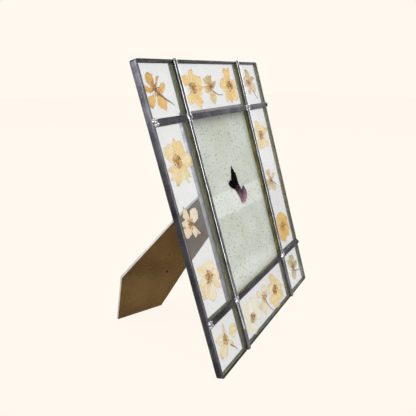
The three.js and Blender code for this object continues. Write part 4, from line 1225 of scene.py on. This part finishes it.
def makeInsert():
    x0, x1 = columns["middle"]
    y0, y1 = rows["centre"]
    middle = ((x0 + x1) / 2 * mm, (y0 + y1) / 2 * mm, insertShape["front"] * mm)
    bpy.ops.object.select_all(action="DESELECT")
    across, up = insertShape["grid"]
    bpy.ops.mesh.primitive_grid_add(x_subdivisions=across, y_subdivisions=up, size=1, location=middle)
    piece = bpy.context.object
    piece.scale = ((x1 - x0) * mm, (y1 - y0) * mm, 1)
    bpy.ops.object.transform_apply(location=True, rotation=True, scale=True)
    waver(piece, insertShape["wave"], 14)
    thick = piece.modifiers.new("thickness", "SOLIDIFY")
    thick.thickness = insertShape["thickness"] * mm
    thick.offset = -1
    applyModifiers(piece)
    dress(leanBack(piece), finishes["card"], replaces=["paper_insert"])
    piece.name = "insert_card"


makeInsert()
print("insert and dried flower made")


# A copy of a frame node with its edges broken.
def softened(nodeName, material, body, radius, segments=2):
    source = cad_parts[nodeName]
    piece = bpy.data.objects.new(nodeName + "_soft", source.data.copy())
    bpy.context.scene.collection.objects.link(piece)
    makeActive(piece)
    bpy.ops.object.mode_set(mode="EDIT")
    bpy.ops.mesh.select_all(action="SELECT")
    bpy.ops.mesh.remove_doubles(threshold=0.003 * mm)
    bpy.ops.mesh.dissolve_limited(angle_limit=math.radians(1))
    bpy.ops.object.mode_set(mode="OBJECT")
    edge = piece.modifiers.new("edge", "BEVEL")
    edge.width = radius * mm
    edge.segments = segments
    edge.limit_method = "ANGLE"
    edge.angle_limit = math.radians(35)
    applyModifiers(piece)
    return dress(piece, material, body, [nodeName])


for channelName in ("channel_bottom", "channel_right", "channel_left"):
    softened(channelName, finishes["channel"], "frame", 0.12)
softened("backing_board", finishes["board"], "frame", 0.3)
softened("hinge_leaf_board", finishes["hinge"], "frame", 0.12)
softened("hinge_leaf_leg", finishes["hinge"], "leg", 0.12)
softened("hinge_pin", finishes["hinge"], "frame", 0.15)

legShape = {
    "outline": [(-0.5, 3.1), (-2.6, -36), (-5.9, -70), (-8.5, -140.6), (25.8, -182.4),
                (59, -152.5), (48.5, -100), (42.5, -60), (33.9, 3.1)],
    "front": -1.8, "thickness": 3.0, "open": 40.7, "edge": 0.35, "fray": 0.35,
    "grid": 4.9, "gridStart": (-9, 3.1), "gridCuts": (14, 38),
}
hingeLine = {"start": (5.4, 150.8), "depth": -10.1, "tilt": 42.2}
knots = [((31.0, -114.7), 1.9), ((18.7, -99.3), 0.9)]  # place on the leg and radius


# A small dark knot round a place on the board.
def addKnot(material, place, radius):
    tree = material.node_tree
    surface = tree.nodes["Principled BSDF"].inputs
    coordinates = addNode(tree, "TexCoord", {})["Object"]
    apart = addNode(tree, "VectorMath", {0: coordinates, 1: place}, operation="DISTANCE")["Value"]
    colour = surface["Base Color"].links[0].from_socket
    knot = mixColour(tree, mapRange(tree, apart, radius, radius * 0.5), colour, (0.02, 0.014, 0.008))
    feed(tree, surface["Base Color"], knot)


def makeLeg():
    depths = legShape["front"] - legShape["thickness"], legShape["front"]
    corners = [(x, y, depths[0]) for x, y in legShape["outline"]]
    piece = newPiece("leg_board", corners, [tuple(range(len(corners)))])
    pickAll(piece)
    bpy.ops.mesh.extrude_region_move(TRANSFORM_OT_translate={"value": (0, 0, legShape["thickness"] * mm)})
    done()
    tidyNormals(piece)
    roundEdges(piece, lambda a, b: abs(a.z - b.z) < 0.1, legShape["edge"], 2)
    pickAll(piece)
    for axis, heading in ((1, -1), (0, 1)):
        for i in range(1, legShape["gridCuts"][axis]):
            place = [0, 0, 0]
            place[axis] = (legShape["gridStart"][axis] + heading * i * legShape["grid"]) * mm
            bpy.ops.mesh.select_all(action="SELECT")
            bpy.ops.mesh.bisect(plane_co=place, plane_no=(1 - axis, axis, 0))
    done()
    for vertex in piece.data.vertices:
        at = vertex.co / mm
        nudge = noise.noise_vector(at * 0.22) * 0.6 + noise.noise_vector(at * 0.8) * 0.4
        vertex.co += Vector((nudge.x, nudge.y, nudge.z * 0.25)) * legShape["fray"] * mm
    swing = Matrix.Rotation(math.radians(legShape["open"]), 4, "X")
    atHinge = Matrix.Translation(Vector((*hingeLine["start"], hingeLine["depth"])) * mm)
    atHinge = atHinge @ Matrix.Rotation(-math.radians(hingeLine["tilt"]), 4, "Z")
    piece.matrix_world = atHinge @ swing
    makeActive(piece)
    bpy.ops.object.transform_apply(location=True, rotation=True, scale=True)
    leanBack(piece)
    pickAll(piece)
    bpy.ops.mesh.bisect(plane_co=(0, 0, 0), plane_no=(0, 0, 1), use_fill=True, clear_inner=True)
    done()
    dress(piece, finishes["leg"], "leg", ["leg"], 30)
    piece.data.materials.append(finishes["boardEdge"])
    broad = (leanIntoPlace @ atHinge @ swing).to_3x3() @ Vector((0, 0, 1))
    for face in piece.data.polygons:
        face.material_index = 0 if abs(face.normal.dot(broad)) > 0.8 else 1
    for (x, y), radius in knots:
        place = leanIntoPlace @ atHinge @ swing @ (Vector((x, y, legShape["front"])) * mm)
        addKnot(finishes["leg"], place, radius * mm)


makeLeg()
print("board, channels, hinge and leg made")

# A pale table in a pale room. Mirrored, both are dimmer, with glowing streaks on the table, painted
# reflections of the two strip lamps, and a bright window.
stageShape = {"radius": 4.0, "glow": 0.957, "matte": 0.03, "colour": (1.0, 0.947, 0.863)}
mirrored = {
    "table": (0.45, 0.42, 0.43),
    "streak": {"colour": (5.0, 5.0, 5.2), "headings": (-30, 93), "edge": (0.9945, 0.9976), "beyond": 0.13},
    "window": {"low": (0.8, 0.77, 0.8), "high": (0.95, 0.91, 0.95), "rise": (0.0, 0.3), "heading": 63,
               "edge": (0.9, 0.965)},
    "dark": (0.16, 0.155, 0.17),
    "room": (0.82, 0.8, 0.8),
}


# 1 for rays that show the stage itself, straight or through glass, and 0 for rays that mirror it.
def seenDirectly(tree, *depths):
    path = addNode(tree, "LightPath", {})
    bounces = path["Glossy Depth"]
    for depth in depths:
        bounces = calculate(tree, "ADD", bounces, path[depth])
    return calculate(tree, "LESS_THAN", bounces, 0.5)


# 1 where the coordinates point from a start to a heading, fading to 0 on either side and near the start.
def towardHeading(tree, coordinates, heading, low, high, start=0.0, beyond=0.0):
    place = addNode(tree, "TexCoord", {})[coordinates]
    away = addNode(tree, "VectorMath", {0: place, 1: (start, 0, 0)}, operation="SUBTRACT")["Vector"]
    unit = addNode(tree, "VectorMath", {0: away}, operation="NORMALIZE")["Vector"]
    angle = math.radians(heading)
    toward = {0: unit, 1: (math.sin(angle), -math.cos(angle), 0)}
    fan = mapRange(tree, addNode(tree, "VectorMath", toward, operation="DOT_PRODUCT")["Value"], low, high)
    if not beyond:
        return fan
    distance = addNode(tree, "VectorMath", {0: away}, operation="LENGTH")["Value"]
    return calculate(tree, "MULTIPLY", fan, mapRange(tree, distance, beyond * 0.8, beyond))


def makeStage():
    bpy.ops.object.select_all(action="DESELECT")
    bpy.ops.mesh.primitive_circle_add(vertices=96, radius=stageShape["radius"], fill_type="NGON")
    piece = bpy.context.object
    piece.name = "table"
    material = bpy.data.materials.new("paleTable")
    material.use_nodes = True
    tree = material.node_tree
    tree.nodes.remove(tree.nodes["Principled BSDF"])
    streak = mirrored["streak"]
    dim = mirrored["table"]
    # Glowing streaks seen only in mirrored rays: painted reflections of the strip lamps.
    for heading in streak["headings"]:
        for start in (-size["upright"] * mm, size["upright"] * mm):
            fan = towardHeading(tree, "Object", heading, *streak["edge"], start, streak["beyond"])
            dim = mixColour(tree, fan, dim, streak["colour"])
    seen = mixColour(tree, seenDirectly(tree), dim, stageShape["colour"])
    glow = addNode(tree, "Emission", {"Color": seen, "Strength": stageShape["glow"]})["Emission"]
    pale = [stageShape["matte"] * share for share in stageShape["colour"]]
    matte = addNode(tree, "BsdfDiffuse", {"Color": pale})["BSDF"]
    both = addNode(tree, "AddShader", {0: glow, 1: matte})["Shader"]
    feed(tree, tree.nodes["Material Output"].inputs["Surface"], both)
    piece.data.materials.append(material)


def makeRoom():
    world = bpy.data.worlds.new("paleRoom")
    bpy.context.scene.world = world
    world.use_nodes = True
    tree = world.node_tree
    window = mirrored["window"]
    height = mapRange(tree, separate(tree, addNode(tree, "TexCoord", {})["Generated"])["Z"], *window["rise"])
    bright = mixColour(tree, height, window["low"], window["high"])
    opening = towardHeading(tree, "Generated", window["heading"], *window["edge"])
    dim = mixColour(tree, opening, mirrored["dark"], bright)
    dim = mixColour(tree, seenDirectly(tree), dim, mirrored["room"])
    straight = seenDirectly(tree, "Diffuse Depth")
    feed(tree, tree.nodes["Background"].inputs["Color"], mixColour(tree, straight, dim, stageShape["colour"]))


makeStage()
makeRoom()

# Heading round the frame (0 in front, growing to its right), distance, height, size, power and colour.
lamps = {
    "skyLamp": (-60, 0.5, 1.8, (2.2, 2.2), 30, (1.0, 0.985, 0.96)),
    "rearLamp": (165, 1.0, 1.5, (1.2, 1.2), 9, (1.0, 0.985, 0.96)),
    "leftStrip": (-30, 1.7, 0.5, (0.55, 1.5), 22, (1, 1, 1)),
    "sideStrip": (90, 1.7, 0.5, (0.3, 1.4), 12, (0.97, 0.98, 1)),
    "topStrip": (122, 1.7, 0.25, (0.7, 0.5), 5, (1, 1, 1)),
    "backStrip": (-128, 1.6, 0.45, (0.9, 1.6), 15, (0.96, 0.94, 1)),
}
lampAim = Vector((0, 0, 0.12))


def addLamp(name, heading, away, height, span, power, colour):
    angle = math.radians(heading)
    place = (away * math.sin(angle), -away * math.cos(angle), height)
    bpy.ops.object.light_add(type="AREA", location=place)
    light = bpy.context.object
    light.name = name
    light.data.shape = "RECTANGLE"
    light.data.size, light.data.size_y = span
    light.data.energy = power
    light.data.color = colour
    light.visible_camera = False
    broad = span[0] > 1
    light.visible_diffuse = broad  # the strips only draw highlights
    light.visible_transmission = broad
    light.rotation_euler = (lampAim - light.location).to_track_quat("-Z", "Y").to_euler()


for lampName, lamp in lamps.items():
    addLamp(lampName, *lamp)
bpy.context.scene.view_settings.view_transform = "Standard"
print("stage and lamps set")
